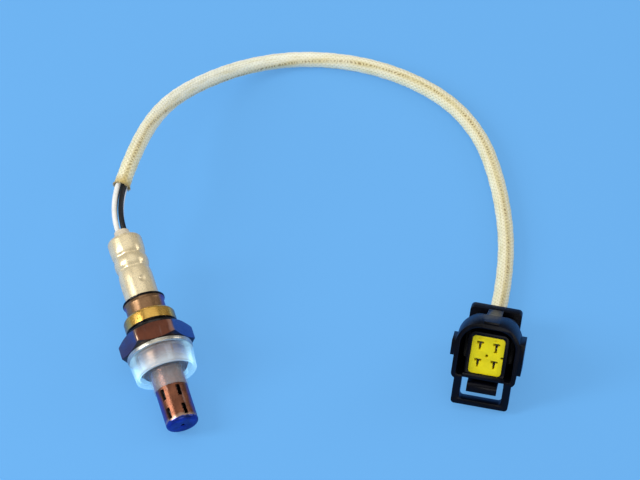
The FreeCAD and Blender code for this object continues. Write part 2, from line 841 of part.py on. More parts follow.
def offset_route(points, radii, offset):
    # a route beside another one: the offset turns with the route and never twists about it
    moved = [points[0] + offset]
    changed = [0]
    for index in range(1, len(points) - 1):
        before = unit(points[index] - points[index - 1])
        after = unit(points[index + 1] - points[index])
        turn = before.getAngle(after)
        normal = unit(before.cross(after))
        inward = normal.cross(before)
        share = offset.dot(inward)
        shift = unit(after - before) * (share / math.cos(turn / 2))
        moved.append(points[index] + normal * offset.dot(normal) + shift)
        changed.append(radii[index] - share)
        offset = Rotation(normal, math.degrees(turn)).multVec(offset)
    moved.append(points[-1] + offset)
    changed.append(0)
    return moved, changed


def tube(points, radii, radius):
    spine = Part.Wire(rounded_edges(points, radii))
    circle = Part.Wire(Part.makeCircle(radius, points[0], points[1] - points[0]))
    solid = spine.makePipeShell([circle], True, False)
    section = math.pi * radius * radius
    print("tube volume over section times length", round(solid.Volume / (section * spine.Length), 4))
    return solid


def harness_points():
    # the middle line from the grommet's end to the back of the connector's cap
    place = sensor_placement()
    exit_point = place.multVec(Vector(0, 0, grommet_end))
    along = place.Rotation.multVec(Vector(0, 0, 1))
    connector = connector_placement()
    entry = connector.multVec(Vector(0, cap_back, entry_height))
    rear = connector.Rotation.multVec(Vector(0, 1, 0))
    middle = [Vector(spot[0], spot[1], spot[2]) for spot in harness_route]
    return [exit_point, exit_point + along * exit_run] + middle + [entry + rear * entry_run, entry]


def harness_sleeve():
    points = harness_points()
    radii = corner_radii(points)
    print("harness turns through arcs of radius", [round(radius, 1) for radius in radii[1:-1]])
    inner_end = connector_placement().multVec(Vector(0, cap_back - sleeve_in_cap, entry_height))
    middle = (points[1] + points[2]) * 0.5
    points = [middle] + points[2:-1] + [inner_end]
    radii = [0] + radii[2:]
    skin = tube(points, radii, sleeve_radius)
    return skin.cut(tube(points, radii, sleeve_radius - sleeve_wall))


def wire(number):
    # from its crimp in the sensor along the route and out to its terminal
    points = harness_points()
    radii = corner_radii(points)
    place = sensor_placement()
    connector = connector_placement()
    points[0] = place.multVec(Vector(0, 0, wire_start))
    fan_back = cap_back - sleeve_in_cap - slip
    points[-1] = connector.multVec(Vector(0, fan_back, entry_height))
    ends = []
    for each in range(4):
        route, route_radii = offset_route(points, radii, place.Rotation.multVec(wire_spot(each)))
        ends.append(connector.inverse().multVec(route[-1]))
        if each == number:
            chosen, chosen_radii = route, route_radii
    x, z = terminal_spots()[nearest_terminals(ends)[number]]
    start = ends[number]
    sideways = math.hypot(x - start.x, z - start.z)
    reach = fan_back - seal_back - gap
    turn = 2 * math.atan2(sideways, reach)
    radius = reach / (2 * math.sin(turn))
    step = radius * math.tan(turn / 2)
    fan = [
        Vector(start.x, fan_back - step, start.z), Vector(x, seal_back + gap + step, z),
        Vector(x, wire_stop(), z)]
    chosen = chosen[:-1] + [connector.multVec(spot) for spot in fan]
    chosen_radii = chosen_radii[:-1] + [radius, radius, 0]
    print("wire", number, "goes to terminal", nearest_terminals(ends)[number] + 1, "radius", round(radius, 1))
    return tube(chosen, chosen_radii, wire_radius)


def nearest_terminals(ends):
    # the wires keep their order round the bundle, so one shift settles all four
    spots = terminal_spots()
    best = []
    for shift in range(4):
        order = [(shift - number) % 4 for number in range(4)]
        total = 0
        for number, spot in enumerate(order):
            total += math.hypot(spots[spot][0] - ends[number].x, spots[spot][1] - ends[number].z)
        best.append((total, order))
    return min(best)[1]


# Placing

def rim_arc_radius():
    # how far from the axis the middle of the arc at the protector's tapered rim is
    taper = math.atan2(protector_top_radius - protector_rim_radius, protector_top - protector_rim)
    return protector_rim_radius - protector_edge * math.tan((math.pi / 2 - taper) / 2)


def lying_angle():
    # the line that touches the protector's rim and the rounded edge of the probe
    run = (protector_rim + protector_edge) - (shroud_tip + shroud_edge)
    drop = rim_arc_radius() - (shroud_radius - shroud_edge)
    distance = math.hypot(run, drop)
    return math.degrees(math.atan2(drop, run) - math.asin((shroud_edge - protector_edge) / distance))


def sensor_placement():
    tilt = lying_angle()
    rise = math.sin(math.radians(tilt))
    level = math.cos(math.radians(tilt))
    height = rim_arc_radius() * level + protector_edge
    height -= (protector_rim + protector_edge) * rise
    turn = Rotation(Vector(1, 0, 0), tilt - 90) * Rotation(Vector(0, 0, 1), -90 - sensor_roll)
    # the middle of the sensor's length comes over the origin
    front = (shroud_tip + shroud_edge) * level - (shroud_radius - shroud_edge) * rise - shroud_edge
    edge = grommet_neck_edge
    back = (grommet_end - edge) * level + (grommet_neck - edge) * rise + edge
    return Placement(Vector(0, -(front + back) / 2, height), turn)


def connector_turn():
    yaw = Rotation(Vector(0, 0, 1), connector_yaw)
    pitch = Rotation(Vector(1, 0, 0), -connector_pitch)
    return yaw * pitch * Rotation(Vector(0, 1, 0), connector_roll)


def connector_placement():
    # raised until the lower of the two corners that it lies on is at z = 0
    turn = connector_turn()
    low = []
    loop_side_x = loop_outer / 2 - loop_corner
    for y in (loop_front, loop_front + loop_thickness):
        low.append(turn.multVec(Vector(loop_side_x, y, loop_bottom + loop_corner)).z - loop_low(turn))
    cap_side_x = cap_width / 2 - cap_corner
    cap_z = turn.multVec(Vector(cap_side_x, cap_back - cap_edge, cap_bottom + cap_corner)).z
    low.append(cap_z - cap_low(turn))
    print("corners of the loop and cap above the lowest", [round(z - min(low), 3) for z in low])
    return Placement(Vector(connector_x, connector_y, -min(low)), turn)


def loop_low(turn):
    # how far the loop's rounded corner reaches below the middle of its arc
    across = turn.multVec(Vector(1, 0, 0)).z
    up = turn.multVec(Vector(0, 0, 1)).z
    return loop_corner * math.hypot(across, up)


def cap_low(turn):
    across = turn.multVec(Vector(1, 0, 0)).z
    up = turn.multVec(Vector(0, 0, 1)).z
    back = turn.multVec(Vector(0, 1, 0)).z
    return (cap_corner - cap_edge) * math.hypot(across, up) + cap_edge * math.hypot(across, up, back)


def main():
    os.makedirs("parts", exist_ok=True)
    sensor = {
        "metal_shell": metal_shell(), "gasket": gasket(), "crimp_ring": crimp_ring(),
        "lower_sleeve": lower_sleeve(), "upper_sleeve": upper_sleeve(), "wire_grommet": wire_grommet(),
        "outer_shroud": outer_shroud(), "inner_shroud": inner_shroud(),
        "sensing_element": sensing_element(), "heater_rod": heater_rod(), "talc_seal": talc_seal(),
        "ceramic_bush": ceramic_bush(), "terminal_insulator": terminal_insulator(),
        "signal_contact": contact(0, electrode_finger()), "heater_contact_1": contact(3, heater_finger()),
        "ground_contact": contact(2, electrode_finger()), "heater_contact_2": contact(1, heater_finger()),
        "thread_protector": thread_protector()}
    connector = {
        "connector_housing": connector_housing(), "terminal_lock": terminal_lock(),
        "seal_retainer": seal_retainer()}
    for number in range(4):
        connector["terminal_%d" % (number + 1)] = female_terminal(number)
        connector["wire_seal_%d" % (number + 1)] = wire_seal(number)
    harness = {
        "harness_sleeve": harness_sleeve(), "signal_wire": wire(0), "heater_wire_1": wire(3),
        "ground_wire": wire(2), "heater_wire_2": wire(1)}
    groups = ((sensor, sensor_placement()), (connector, connector_placement()), (harness, Placement()))
    for group, place in groups:
        for name, shape in group.items():
            print(name, shape.isValid(), len(shape.Solids), round(shape.Volume, 1))
            shape.Placement = place.multiply(shape.Placement)
            shape.exportStep("parts/" + name + ".step")


main()
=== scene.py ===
import bmesh
import bpy
from contextlib import contextmanager
from math import cos, degrees, exp, hypot, pi, radians, sin, sqrt, tan
from mathutils import Matrix, Vector


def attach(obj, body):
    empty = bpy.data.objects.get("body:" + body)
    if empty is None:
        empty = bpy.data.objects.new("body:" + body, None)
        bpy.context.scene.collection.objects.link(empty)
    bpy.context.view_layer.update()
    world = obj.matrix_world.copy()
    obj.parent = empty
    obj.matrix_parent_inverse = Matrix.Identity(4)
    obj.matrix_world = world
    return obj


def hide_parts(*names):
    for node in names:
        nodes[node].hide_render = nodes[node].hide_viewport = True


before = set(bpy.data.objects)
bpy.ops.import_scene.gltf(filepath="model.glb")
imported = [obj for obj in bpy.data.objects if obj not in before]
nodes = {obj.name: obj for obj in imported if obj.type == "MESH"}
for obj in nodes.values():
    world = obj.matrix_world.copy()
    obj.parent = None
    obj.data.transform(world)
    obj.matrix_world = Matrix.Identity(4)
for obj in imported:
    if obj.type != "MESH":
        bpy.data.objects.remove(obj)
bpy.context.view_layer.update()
scene = bpy.context.scene

# Where things stand, in metres. The sensor lies on its thread protector and its probe tip.
SENSOR_TILT = 14.9628
SENSOR_ROLL = 6.5
SENSOR = (
    Matrix.Translation((0, -0.00855706, 0.0122478))
    @ Matrix.Rotation(radians(SENSOR_TILT - 90), 4, "X")
    @ Matrix.Rotation(radians(-90 - SENSOR_ROLL), 4, "Z"))
CONNECTOR_YAW = -27.5
CONNECTOR_PITCH = -27.5
CONNECTOR_ROLL = 3.0
CONNECTOR = (
    Matrix.Translation((0.0994, -0.0506, 0.0189282))
    @ Matrix.Rotation(radians(CONNECTOR_YAW), 4, "Z")
    @ Matrix.Rotation(radians(CONNECTOR_PITCH), 4, "X")
    @ Matrix.Rotation(radians(CONNECTOR_ROLL), 4, "Y"))
WIRE_RADIUS = 0.0009
SLEEVE_RADIUS = 0.0028

# Sizes in millimetres. A sensor piece is drawn about the sensor's own axis: w runs from the
# hex's sealing face towards the wires, and r is the radius. In the connector's frame y runs
# from its mouth to its back.
MILLI = 0.001
MM = Matrix.Scale(MILLI, 4)
HEX_FLATS = 22.0
HEX_TOP = 6.0
BORE = 6.4
SLEEVE_BOTTOM = 12.65
SLEEVE_TOP = 43.0
SLEEVE_SKIN = 5.75
GROMMET_END = 46.2
SHROUD_TIP = -28.0
WIRE_START = 24.8
WIRE_CIRCLE = 1.1 * sqrt(2)
CAP_BACK = 28.3
ENTRY_HEIGHT = 1.1


def add(name, data):
    made = bpy.data.objects.new(name, data)
    scene.collection.objects.link(made)
    return made


def set_camera():
    # as the photograph was taken, from 48 degrees above the floor
    data = bpy.data.cameras.new("camera")
    data.lens = 186.95
    data.sensor_width = 36.0
    data.clip_end = 20.0
    camera = add("camera", data)
    camera.location = (-0.168508, -0.699284, 0.854617)
    camera.rotation_euler = (radians(42.0), 0, radians(-18.0))
    scene.camera = camera
    scene.view_settings.view_transform = "Standard"


# Node trees

def shade(red, green, blue):
    return (red, green, blue, 1.0)


def spoken(label):
    # patch_size to Patch Size, as sockets are named
    return label.replace("_", " ").title().replace("Ior", "IOR")


class Graph:
    """A node tree that is written in a few words."""

    def __init__(self, tree):
        self.tree = tree

    def node(self, kind, inputs=None, **settings):
        made = self.tree.nodes.new(kind)
        for name, value in settings.items():
            setattr(made, name, value)
        for socket, value in (inputs or {}).items():
            self.put(made.inputs[socket], value)
        return made

    def put(self, socket, value):
        if isinstance(value, bpy.types.NodeSocket):
            self.tree.links.new(value, socket)
        else:
            socket.default_value = value

    def math(self, operation, *values):
        inputs = dict(enumerate(values))
        return self.node("ShaderNodeMath", inputs, operation=operation).outputs[0]

    def plus(self, first, second):
        return self.math("ADD", first, second)

    def times(self, first, second):
        return self.math("MULTIPLY", first, second)

    def parts(self, vector):
        return self.node("ShaderNodeSeparateXYZ", {0: vector}).outputs

    def vector(self, x, y, z):
        return self.node("ShaderNodeCombineXYZ", {0: x, 1: y, 2: z}).outputs[0]

    def blend(self, share, first, second):
        inputs = {0: share, 6: first, 7: second}
        return self.node("ShaderNodeMix", inputs, data_type="RGBA").outputs[2]

    def noise(self, vector, scale, detail=3.0, rough=0.55, stretch=None):
        if stretch:
            vector = self.node(
                "ShaderNodeVectorMath", {0: vector, 1: stretch}, operation="MULTIPLY").outputs[0]
        return self.node("ShaderNodeTexNoise", {
            "Vector": vector, "Scale": scale, "Detail": detail, "Roughness": rough}).outputs[0]

    def between(self, value, low, high, to_low=0.0, to_high=1.0):
        return self.node(
            "ShaderNodeMapRange", {0: value, 1: low, 2: high, 3: to_low, 4: to_high}).outputs[0]

    def between_mm(self, place, low, high):
        return self.between(place, low * MILLI, high * MILLI)

    def lerp(self, share, first, last):
        return self.between(share, 0.0, 1.0, first, last)


GROUPS = {}


class Group(Graph):
    """A shader group with a vector and plain numbers going in, and numbers coming out."""

    def __init__(self, name, **numbers):
        super().__init__(bpy.data.node_groups.new(name, "ShaderNodeTree"))
        GROUPS[name] = self.tree
        self.tree.interface.new_socket(
            "Vector", in_out="INPUT", socket_type="NodeSocketVector")
        for label, default in numbers.items():
            self.tree.interface.new_socket(
                spoken(label), in_out="INPUT", socket_type="NodeSocketFloat"
            ).default_value = default
        self.given = self.node("NodeGroupInput").outputs

    def give(self, **results):
        for label in results:
            self.tree.interface.new_socket(
                spoken(label), in_out="OUTPUT", socket_type="NodeSocketFloat")
        out = self.node("NodeGroupOutput").inputs
        for label, value in results.items():
            self.put(out[spoken(label)], value)


def mottle_group():
    # soft patches of tone and a fine grain, as plating, plastic and rubber have
    group = Group("mottle", patch_size=300.0, grain_size=4000.0)
    spot = group.given["Vector"]
    patches = group.noise(spot, group.given["Patch Size"], 4.0)
    group.give(
        patches=group.between(patches, 0.35, 0.68),
        grain=group.noise(spot, group.given["Grain Size"], 2.0))


def lathe_group():
    # fine rings left by turning, and short scratches across them
    group = Group("lathe_marks", rings=2200.0)
    spot = group.given["Vector"]
    along = group.times(group.parts(spot)[2], group.given["Rings"])
    rings = group.node(
        "ShaderNodeTexNoise", {"W": along, "Scale": 1.0, "Detail": 3.0}, noise_dimensions="1D")
    streaks = group.noise(spot, 900.0, 2.0, 0.5, (1.0, 1.0, 0.12))
    group.give(height=rings.outputs[0], scratches=group.between(streaks, 0.62, 0.72))


def braid_group():
    # two sets of yarns that cross over and under each other, from a map with u round the sleeve
    under = 0.55
    group = Group("braid", yarns=12.0)
    spot = group.given["Vector"]
    u, v, _ = group.parts(spot)
    right = group.times(group.plus(u, v), group.given["Yarns"])
    left = group.times(group.math("SUBTRACT", u, v), group.given["Yarns"])
    rise_right = group.math("ABSOLUTE", group.math("SINE", group.times(right, pi)))
    rise_left = group.math("ABSOLUTE", group.math("SINE", group.times(left, pi)))
    crossing = group.plus(group.math("FLOOR", right), group.math("FLOOR", left))
    over = group.math("FLOORED_MODULO", crossing, 2.0)
    height = group.math(
        "MAXIMUM", group.times(rise_right, group.lerp(over, under, 1.0)),
        group.times(rise_left, group.lerp(over, 1.0, under)))
    group.give(
        height=height, gaps=group.between(height, 0.55, 0.2), thread=group.noise(spot, 240.0, 2.0))


def side_reflection_group():
    # where the sensor's steel takes a painted reflection of the blue backdrop: round its sides,
    # away from the front, with a wandering edge. It also gives a point's place in the sensor's
    # frame
    group = Group("painted_side_reflection", inner=0.9, outer=0.8, wander=0.05, lean=0.0)
    given = group.given
    x, y, z = group.parts(given["Vector"])
    radius = group.node(
        "ShaderNodeVectorMath", {0: group.vector(x, y, 0.0)}, operation="LENGTH").outputs["Value"]
    thick = group.math("MAXIMUM", radius, 0.5 * MILLI)
    up = group.math("DIVIDE", x, thick)
    across = group.math("DIVIDE", y, thick)
    patches = group.between(group.noise(given["Vector"], 140.0), 0.3, 0.7, -1.0, 1.0)
    reach = group.plus(up, group.times(patches, given["Wander"]))
    reach = group.plus(reach, group.times(across, given["Lean"]))
    # side is the share of painted reflection, and border is the fringe where it begins
    side = group.between(reach, given["Inner"], given["Outer"])
    group.give(
        side=side, border=group.math("SINE", group.times(side, pi)), up=up, across=across,
        along=z, radius=radius)


# Materials

class Finish(Graph):
    """A material in the making: its tone and roughness so far, and where its points lie."""

    def __init__(self, name, place=None, **plain):
        self.name = name
        self.material = bpy.data.materials.new(name)
        self.material.use_nodes = True
        super().__init__(self.material.node_tree)
        self.sockets = self.tree.nodes["Principled BSDF"].inputs
        for label, value in plain.items():
            self.sockets[spoken(label)].default_value = value
        self.tone = self.rough = None
        self.spot = self.node("ShaderNodeTexCoord").outputs["Object"]
        if place is not None:
            # seen from the sensor's or connector's own frame
            self.spot = self.node(
                "ShaderNodeMapping",
                {"Vector": self.spot, "Location": place.translation, "Rotation": place.to_euler()},
                vector_type="TEXTURE").outputs[0]

    def use(self, group, vector=None, **numbers):
        made = self.node("ShaderNodeGroup", {"Vector": vector or self.spot},
                         node_tree=GROUPS[group])
        for label, value in numbers.items():
            self.put(made.inputs[spoken(label)], value)
        return made.outputs

    def patches(self, scale, low, high, to_low=0.0, to_high=1.0, detail=3.0):
        return self.between(self.noise(self.spot, scale, detail), low, high, to_low, to_high)

    def tint(self, share, colour, most=1.0):
        if most != 1.0:
            share = self.times(share, most)
        self.tone = self.blend(share, self.tone, colour)

    def set_rough(self, grain, low, high):
        self.rough = self.between(grain, 0.3, 0.7, low, high)

    def bump(self, height, strength, distance):
        made = self.node(
            "ShaderNodeBump", {"Height": height, "Strength": strength, "Distance": distance})
        self.put(self.sockets["Normal"], made.outputs[0])

    def done(self):
        self.put(self.sockets["Base Color"], self.tone)
        if self.rough is not None:
            self.put(self.sockets["Roughness"], self.rough)
        return self.material


def turned_metal(
        name, colour, darker, rough, metal=1.0, rings=2200.0, patch=260.0, depth=0.00002):
    finish = Finish(name, SENSOR, metallic=metal)
    mottle = finish.use("mottle", patch_size=patch)
    marks = finish.use("lathe_marks", rings=rings)
    finish.tone = finish.blend(mottle["Patches"], darker, colour)
    finish.tint(marks["Scratches"], shade(0.9, 0.88, 0.85), 0.1)
    finish.set_rough(mottle["Grain"], rough - 0.06, rough + 0.08)
    finish.bump(marks["Height"], 0.25, depth)
    return finish


def hex_steel():
    # brown over most of it, with a painted reflection, violet and blue, round the sides and gold
    # at its edge, painted highlights on the left corners, and painted shade on the chamfers and
    # collar
    finish = turned_metal(
        "hex_steel", shade(0.18, 0.054, 0.026), shade(0.11, 0.034, 0.018), 0.28, 0.65)
    painted_sides = finish.use("painted_side_reflection", inner=0.915, outer=0.84, wander=0.03)
    patches = finish.patches(110.0, 0.35, 0.65, -0.6, 0.6)
    bluer = finish.between(finish.plus(painted_sides["Across"], patches), -0.7, 0.5)
    # painted reflection of the blue backdrop on the sides, with a gold fringe at its edge
    finish.tint(
        painted_sides["Side"], finish.blend(bluer, shade(0.09, 0.07, 0.13), shade(0.045, 0.11, 0.33)))
    finish.tint(painted_sides["Border"], shade(0.38, 0.17, 0.05), 0.6)
    # painted highlight: the corners on the left side are lightened as if they caught the lamp
    facing = finish.node("ShaderNodeMapping", {
        "Vector": finish.node("ShaderNodeTexCoord").outputs["Normal"],
        "Rotation": SENSOR.to_euler()}, vector_type="TEXTURE").outputs[0]
    x, y, z = finish.parts(facing)
    six_fold = finish.math("COSINE", finish.times(finish.math("ARCTAN2", y, x), 6.0))
    corner = finish.times(finish.between(six_fold, 0.6, -0.2), 0.7)
    corner = finish.times(corner, finish.between(painted_sides["Across"], 0.1, -0.1))
    finish.tint(corner, shade(0.5, 0.36, 0.24))
    # painted shade: the chamfers and the collar above the hex are darkened nearly to black
    chamfer_shade = finish.between(finish.math("ABSOLUTE", z), 0.35, 0.6, 0.0, 0.85)
    collar_shade = finish.between_mm(painted_sides["Along"], HEX_TOP + 0.02, HEX_TOP + 0.1)
    finish.tint(
        finish.math("MAXIMUM", chamfer_shade, finish.times(collar_shade, 0.97)),
        finish.blend(collar_shade, shade(0.012, 0.01, 0.01), shade(0.04, 0.038, 0.036)))
    finish.rough = finish.times(finish.rough, finish.lerp(collar_shade, 1.0, 0.35))
    return finish


def probe_steel():
    # copper brown, with a painted reflection of the blue backdrop round its sides, violet at its
    # edge, a painted highlight band above a deep blue end that is a painted reflection, and
    # painted shade in the louvres
    finish = turned_metal(
        "probe_steel", shade(0.28, 0.1, 0.05), shade(0.17, 0.06, 0.03), 0.29, 0.74,
        rings=1500.0, patch=420.0)
    painted_sides = finish.use("painted_side_reflection", inner=0.6, outer=0.38, wander=0.12)
    # painted reflection of the blue backdrop on the sides, violet at its edge
    finish.tint(painted_sides["Side"], shade(0.06, 0.09, 0.38), 0.85)
    finish.tint(painted_sides["Border"], shade(0.17, 0.06, 0.16), 0.7)
    wander = finish.patches(500.0, 0.3, 0.7, -0.3 * MILLI, 0.3 * MILLI, detail=2.0)
    along = finish.plus(painted_sides["Along"], wander)
    # painted highlight: a light band above the end that shows as glints
    finish.tint(finish.between_mm(along, -25.5, -26.5), shade(0.75, 0.6, 0.45), 0.45)
    # painted reflection: the end is painted deep blue for the backdrop it reflects
    blue = finish.blend(
        finish.patches(320.0, 0.36, 0.64), shade(0.016, 0.034, 0.2), shade(0.028, 0.06, 0.38))
    finish.tint(finish.between_mm(along, -26.4, -26.8), blue)
    # painted shade: the inside of the louvres is painted nearly black
    louvre_shade = finish.times(
        finish.between_mm(painted_sides["Radius"], 5.4, 5.26),
        finish.between_mm(painted_sides["Along"], -26.8, -26.4))
    finish.tint(louvre_shade, shade(0.008, 0.006, 0.006))
    return finish


def brown_steel():
    # the lower sleeve: brown, with a painted reflection, violet and blue, round its sides, and its
    # flared rim nearly black in painted shade
    finish = turned_metal(
        "brown_steel", shade(0.4, 0.23, 0.11), shade(0.28, 0.15, 0.07), 0.28, 0.7, rings=900.0)
    painted_sides = finish.use("painted_side_reflection", inner=0.5, outer=0.25, wander=0.08, lean=-0.22)
    # painted reflection of the blue backdrop on the sides, leaning to the right, violet at its
    # edge
    finish.tint(painted_sides["Side"], shade(0.1, 0.1, 0.42), 0.75)
    finish.tint(painted_sides["Border"], shade(0.26, 0.13, 0.22), 0.6)
    # painted shade: the flared rim is painted nearly black
    finish.tint(finish.between_mm(painted_sides["Along"], 18.0, 18.2), shade(0.006, 0.005, 0.006))
    return finish


def gold_plate():
    # yellow plating, with a dull painted reflection of the backdrop at its sides, and its rolled
    # foot black in painted shade
    finish = turned_metal(
        "gold_plate", shade(0.92, 0.56, 0.12), shade(0.76, 0.42, 0.08), 0.22, 0.78, rings=1200.0)
    painted_sides = finish.use("painted_side_reflection", inner=0.62, outer=0.35, wander=0.08)
    # painted reflection of the backdrop, dulling the sides
    finish.tint(painted_sides["Side"], shade(0.2, 0.2, 0.13), 0.65)
    # painted shade: the ring's foot is painted black
    finish.tint(finish.between_mm(painted_sides["Along"], 8.8, 8.65), shade(0.006, 0.005, 0.005))
    return finish


def milky_plastic():
    # clouded towards its shoulder and clearer in its web, with a painted glow on its sides that
    # stands in for light coming up through them
    finish = Finish("milky_plastic", SENSOR, roughness=0.3, ior=1.45, emission_strength=0.9)
    mottle = finish.use("mottle", patch_size=180.0, grain_size=2500.0)
    painted_sides = finish.use("painted_side_reflection")
    wall = finish.between_mm(painted_sides["Radius"], 8.8, 9.3)
    neck = finish.between_mm(painted_sides["Radius"], 7.0, 6.4)
    shoulder = finish.between_mm(painted_sides["Along"], -4.0, -8.5)
    finish.tone = finish.blend(
        mottle["Patches"], shade(0.44, 0.455, 0.53), shade(0.62, 0.645, 0.72))
    finish.tint(shoulder, shade(0.84, 0.93, 0.98))
    finish.tint(neck, shade(0.56, 0.57, 0.6))
    above = finish.between(painted_sides["Up"], -0.5, 0.3, 0.1, 1.0)
    cloud = finish.times(finish.times(wall, shoulder), finish.times(above, 0.28))
    cloud = finish.plus(cloud, finish.times(neck, 0.02))
    cloud = finish.plus(cloud, finish.lerp(mottle["Patches"], 0.12, 0.22))
    web = finish.lerp(finish.math("MAXIMUM", wall, neck), 0.55, 1.0)
    finish.put(finish.sockets["Alpha"], finish.times(cloud, web))
    # painted light: the sides glow pale blue by emission, though the plastic is no lamp
    painted_glow = finish.times(finish.between(painted_sides["Up"], 0.85, 0.45), wall)
    finish.put(
        finish.sockets["Emission Color"],
        finish.blend(painted_glow, shade(0.0, 0.0, 0.0), shade(0.34, 0.75, 1.0)))
    finish.bump(mottle["Grain"], 0.15, 0.00003)
    return finish


def moulded(name, light, dark, rough, place=CONNECTOR, grain=2600.0, **plain):
    finish = Finish(name, place, **plain)
    mottle = finish.use("mottle", patch_size=220.0, grain_size=grain)
    finish.tone = finish.blend(mottle["Patches"], dark, light)
    finish.set_rough(mottle["Grain"], rough - 0.05, rough + 0.08)
    finish.bump(mottle["Grain"], 0.3, 0.00003)
    return finish


def braided_cloth():
    # cream glass yarn, tanned along the stitched fold that wanders round the sleeve, and golden
    # where it is cut. On the map u is a share of a turn, and v counts the sleeve's own girths.
    finish = Finish("braided_cloth", roughness=0.8, sheen_weight=0.5)
    chart = finish.node("ShaderNodeUVMap", uv_map="around").outputs[0]
    loose = finish.node(
        "ShaderNodeTexNoise", {"Vector": chart, "Scale": 2.2, "Detail": 2.0}).outputs["Color"]
    pull = finish.node(
        "ShaderNodeVectorMath", {0: loose, "Scale": 0.03}, operation="SCALE").outputs[0]
    eased = finish.node("ShaderNodeVectorMath", {0: chart, 1: pull}, operation="ADD").outputs[0]
    braid = finish.use("braid", eased, yarns=11.0)
    turn, along, _ = finish.parts(chart)
    fold = finish.plus(
        finish.between(along, 0.0, 7.5, 0.04, 0.148), finish.between(along, 7.5, 15.0, 0.0, -0.17))
    slip = finish.times(
        finish.between(along, 1.6, 3.4), finish.between(along, 5.2, 7.6, 0.2, 0.0))
    from_fold = finish.math("SUBTRACT", turn, finish.plus(fold, slip))
    away = finish.math("ABSOLUTE", finish.math("WRAP", from_fold, 0.5, -0.5))

    patches = finish.patches(160.0, 0.35, 0.65)
    finish.tone = finish.blend(patches, shade(0.76, 0.71, 0.42), shade(0.88, 0.86, 0.58))
    finish.tint(finish.between(braid["Thread"], 0.35, 0.7), shade(0.96, 0.95, 0.76))
    # paler, with fainter gaps, over a stretch near the sensor
    paler_stretch = finish.times(finish.between(along, 0.8, 3.0), finish.between(along, 9.5, 6.5))
    finish.tint(paler_stretch, shade(1.0, 1.0, 0.84), 0.8)
    tanned = finish.times(finish.between(away, 0.14, 0.03), finish.lerp(patches, 0.35, 0.7))
    finish.tint(tanned, shade(0.66, 0.52, 0.2))
    streaks = finish.noise(chart, 26.0, 2.0, 0.5, (1.0, 0.06, 1.0))
    finish.tint(finish.between(streaks, 0.46, 0.64), shade(0.62, 0.54, 0.2), 0.42)
    beside = finish.math("ABSOLUTE", finish.math("SUBTRACT", away, 0.075))
    finish.tint(finish.between(beside, 0.03, 0.01), shade(0.93, 0.88, 0.66), 0.6)
    gaps = finish.times(braid["Gaps"], finish.lerp(paler_stretch, 0.6, 0.3))
    finish.tint(gaps, shade(0.42, 0.34, 0.13))

    uneven = finish.between(finish.noise(chart, 5.0, 2.0), 0.3, 0.7, -0.05, 0.05)
    stitches = finish.times(finish.plus(along, uneven), 2 * pi * 13)
    dots = finish.between(finish.math("SINE", stitches), -0.3, 0.6)
    worn = finish.between(finish.noise(chart, 1.6, 3.0), 0.36, 0.58, 0.2, 0.85)
    seam = finish.times(finish.between(away, 0.03, 0.013), finish.times(dots, worn))
    finish.tint(seam, shade(0.26, 0.16, 0.04))
    finish.tint(finish.between(along, 0.2, 0.04, 0.0, 0.8), shade(0.5, 0.34, 0.07))
    finish.bump(braid["Height"], 0.65, 0.0003)
    return finish


def make_materials():
    for build in (mottle_group, lathe_group, braid_group, side_reflection_group):
        build()
    finishes = [
        hex_steel(), probe_steel(), brown_steel(), gold_plate(), milky_plastic(), braided_cloth(),
        turned_metal("washer_steel", shade(0.84, 0.8, 0.68), shade(0.64, 0.6, 0.48), 0.26, 0.82),
        turned_metal(
            "nickel_plate", shade(0.95, 0.8, 0.51), shade(0.84, 0.69, 0.42), 0.28, 0.46,
            rings=700.0, depth=0.00001),
        turned_metal("inner_steel", shade(0.12, 0.07, 0.05), shade(0.06, 0.035, 0.03), 0.42),
        turned_metal("spring_strip", shade(0.62, 0.6, 0.56), shade(0.5, 0.48, 0.45), 0.3),
        moulded(
            "black_nylon", shade(0.0016, 0.002, 0.006), shade(0.001, 0.0012, 0.003), 0.3,
            specular_ior_level=0.22),
        moulded(
            "yellow_nylon", shade(0.88, 0.74, 0.006), shade(0.78, 0.64, 0.004), 0.45,
            specular_ior_level=0.2),
        moulded("beige_rubber", shade(0.76, 0.66, 0.5), shade(0.6, 0.52, 0.38), 0.4, SENSOR),
        moulded("seal_rubber", shade(0.35, 0.07, 0.04), shade(0.28, 0.05, 0.03), 0.55),
        moulded(
            "tin_plate", shade(0.7, 0.66, 0.58), shade(0.55, 0.5, 0.42), 0.3, metallic=1.0),
        moulded("white_ceramic", shade(0.8, 0.78, 0.72), shade(0.7, 0.68, 0.62), 0.6, SENSOR),
        moulded("pressed_talc", shade(0.5, 0.52, 0.47), shade(0.38, 0.4, 0.36), 0.85, SENSOR)]
    for name, light, dark in (
            ("white_jacket", shade(0.86, 0.85, 0.8), shade(0.76, 0.75, 0.7)),
            ("black_jacket", shade(0.005, 0.005, 0.006), shade(0.003, 0.003, 0.004)),
            ("grey_jacket", shade(0.16, 0.165, 0.17), shade(0.12, 0.125, 0.13))):
        finishes.append(moulded(name, light, dark, 0.32, None, 1500.0))
    # by the names given here, since Blender adds a number to a name that is taken
    return {finish.name: finish.done() for finish in finishes}


# Mesh helpers

@contextmanager
def editing(mesh):
    bm = bmesh.new()
    bm.from_mesh(mesh)
    yield bm
    bm.to_mesh(mesh)
    bm.free()


def smooth(mesh, angle):
    mesh.shade_smooth()
    mesh.set_sharp_from_angle(angle=radians(angle))


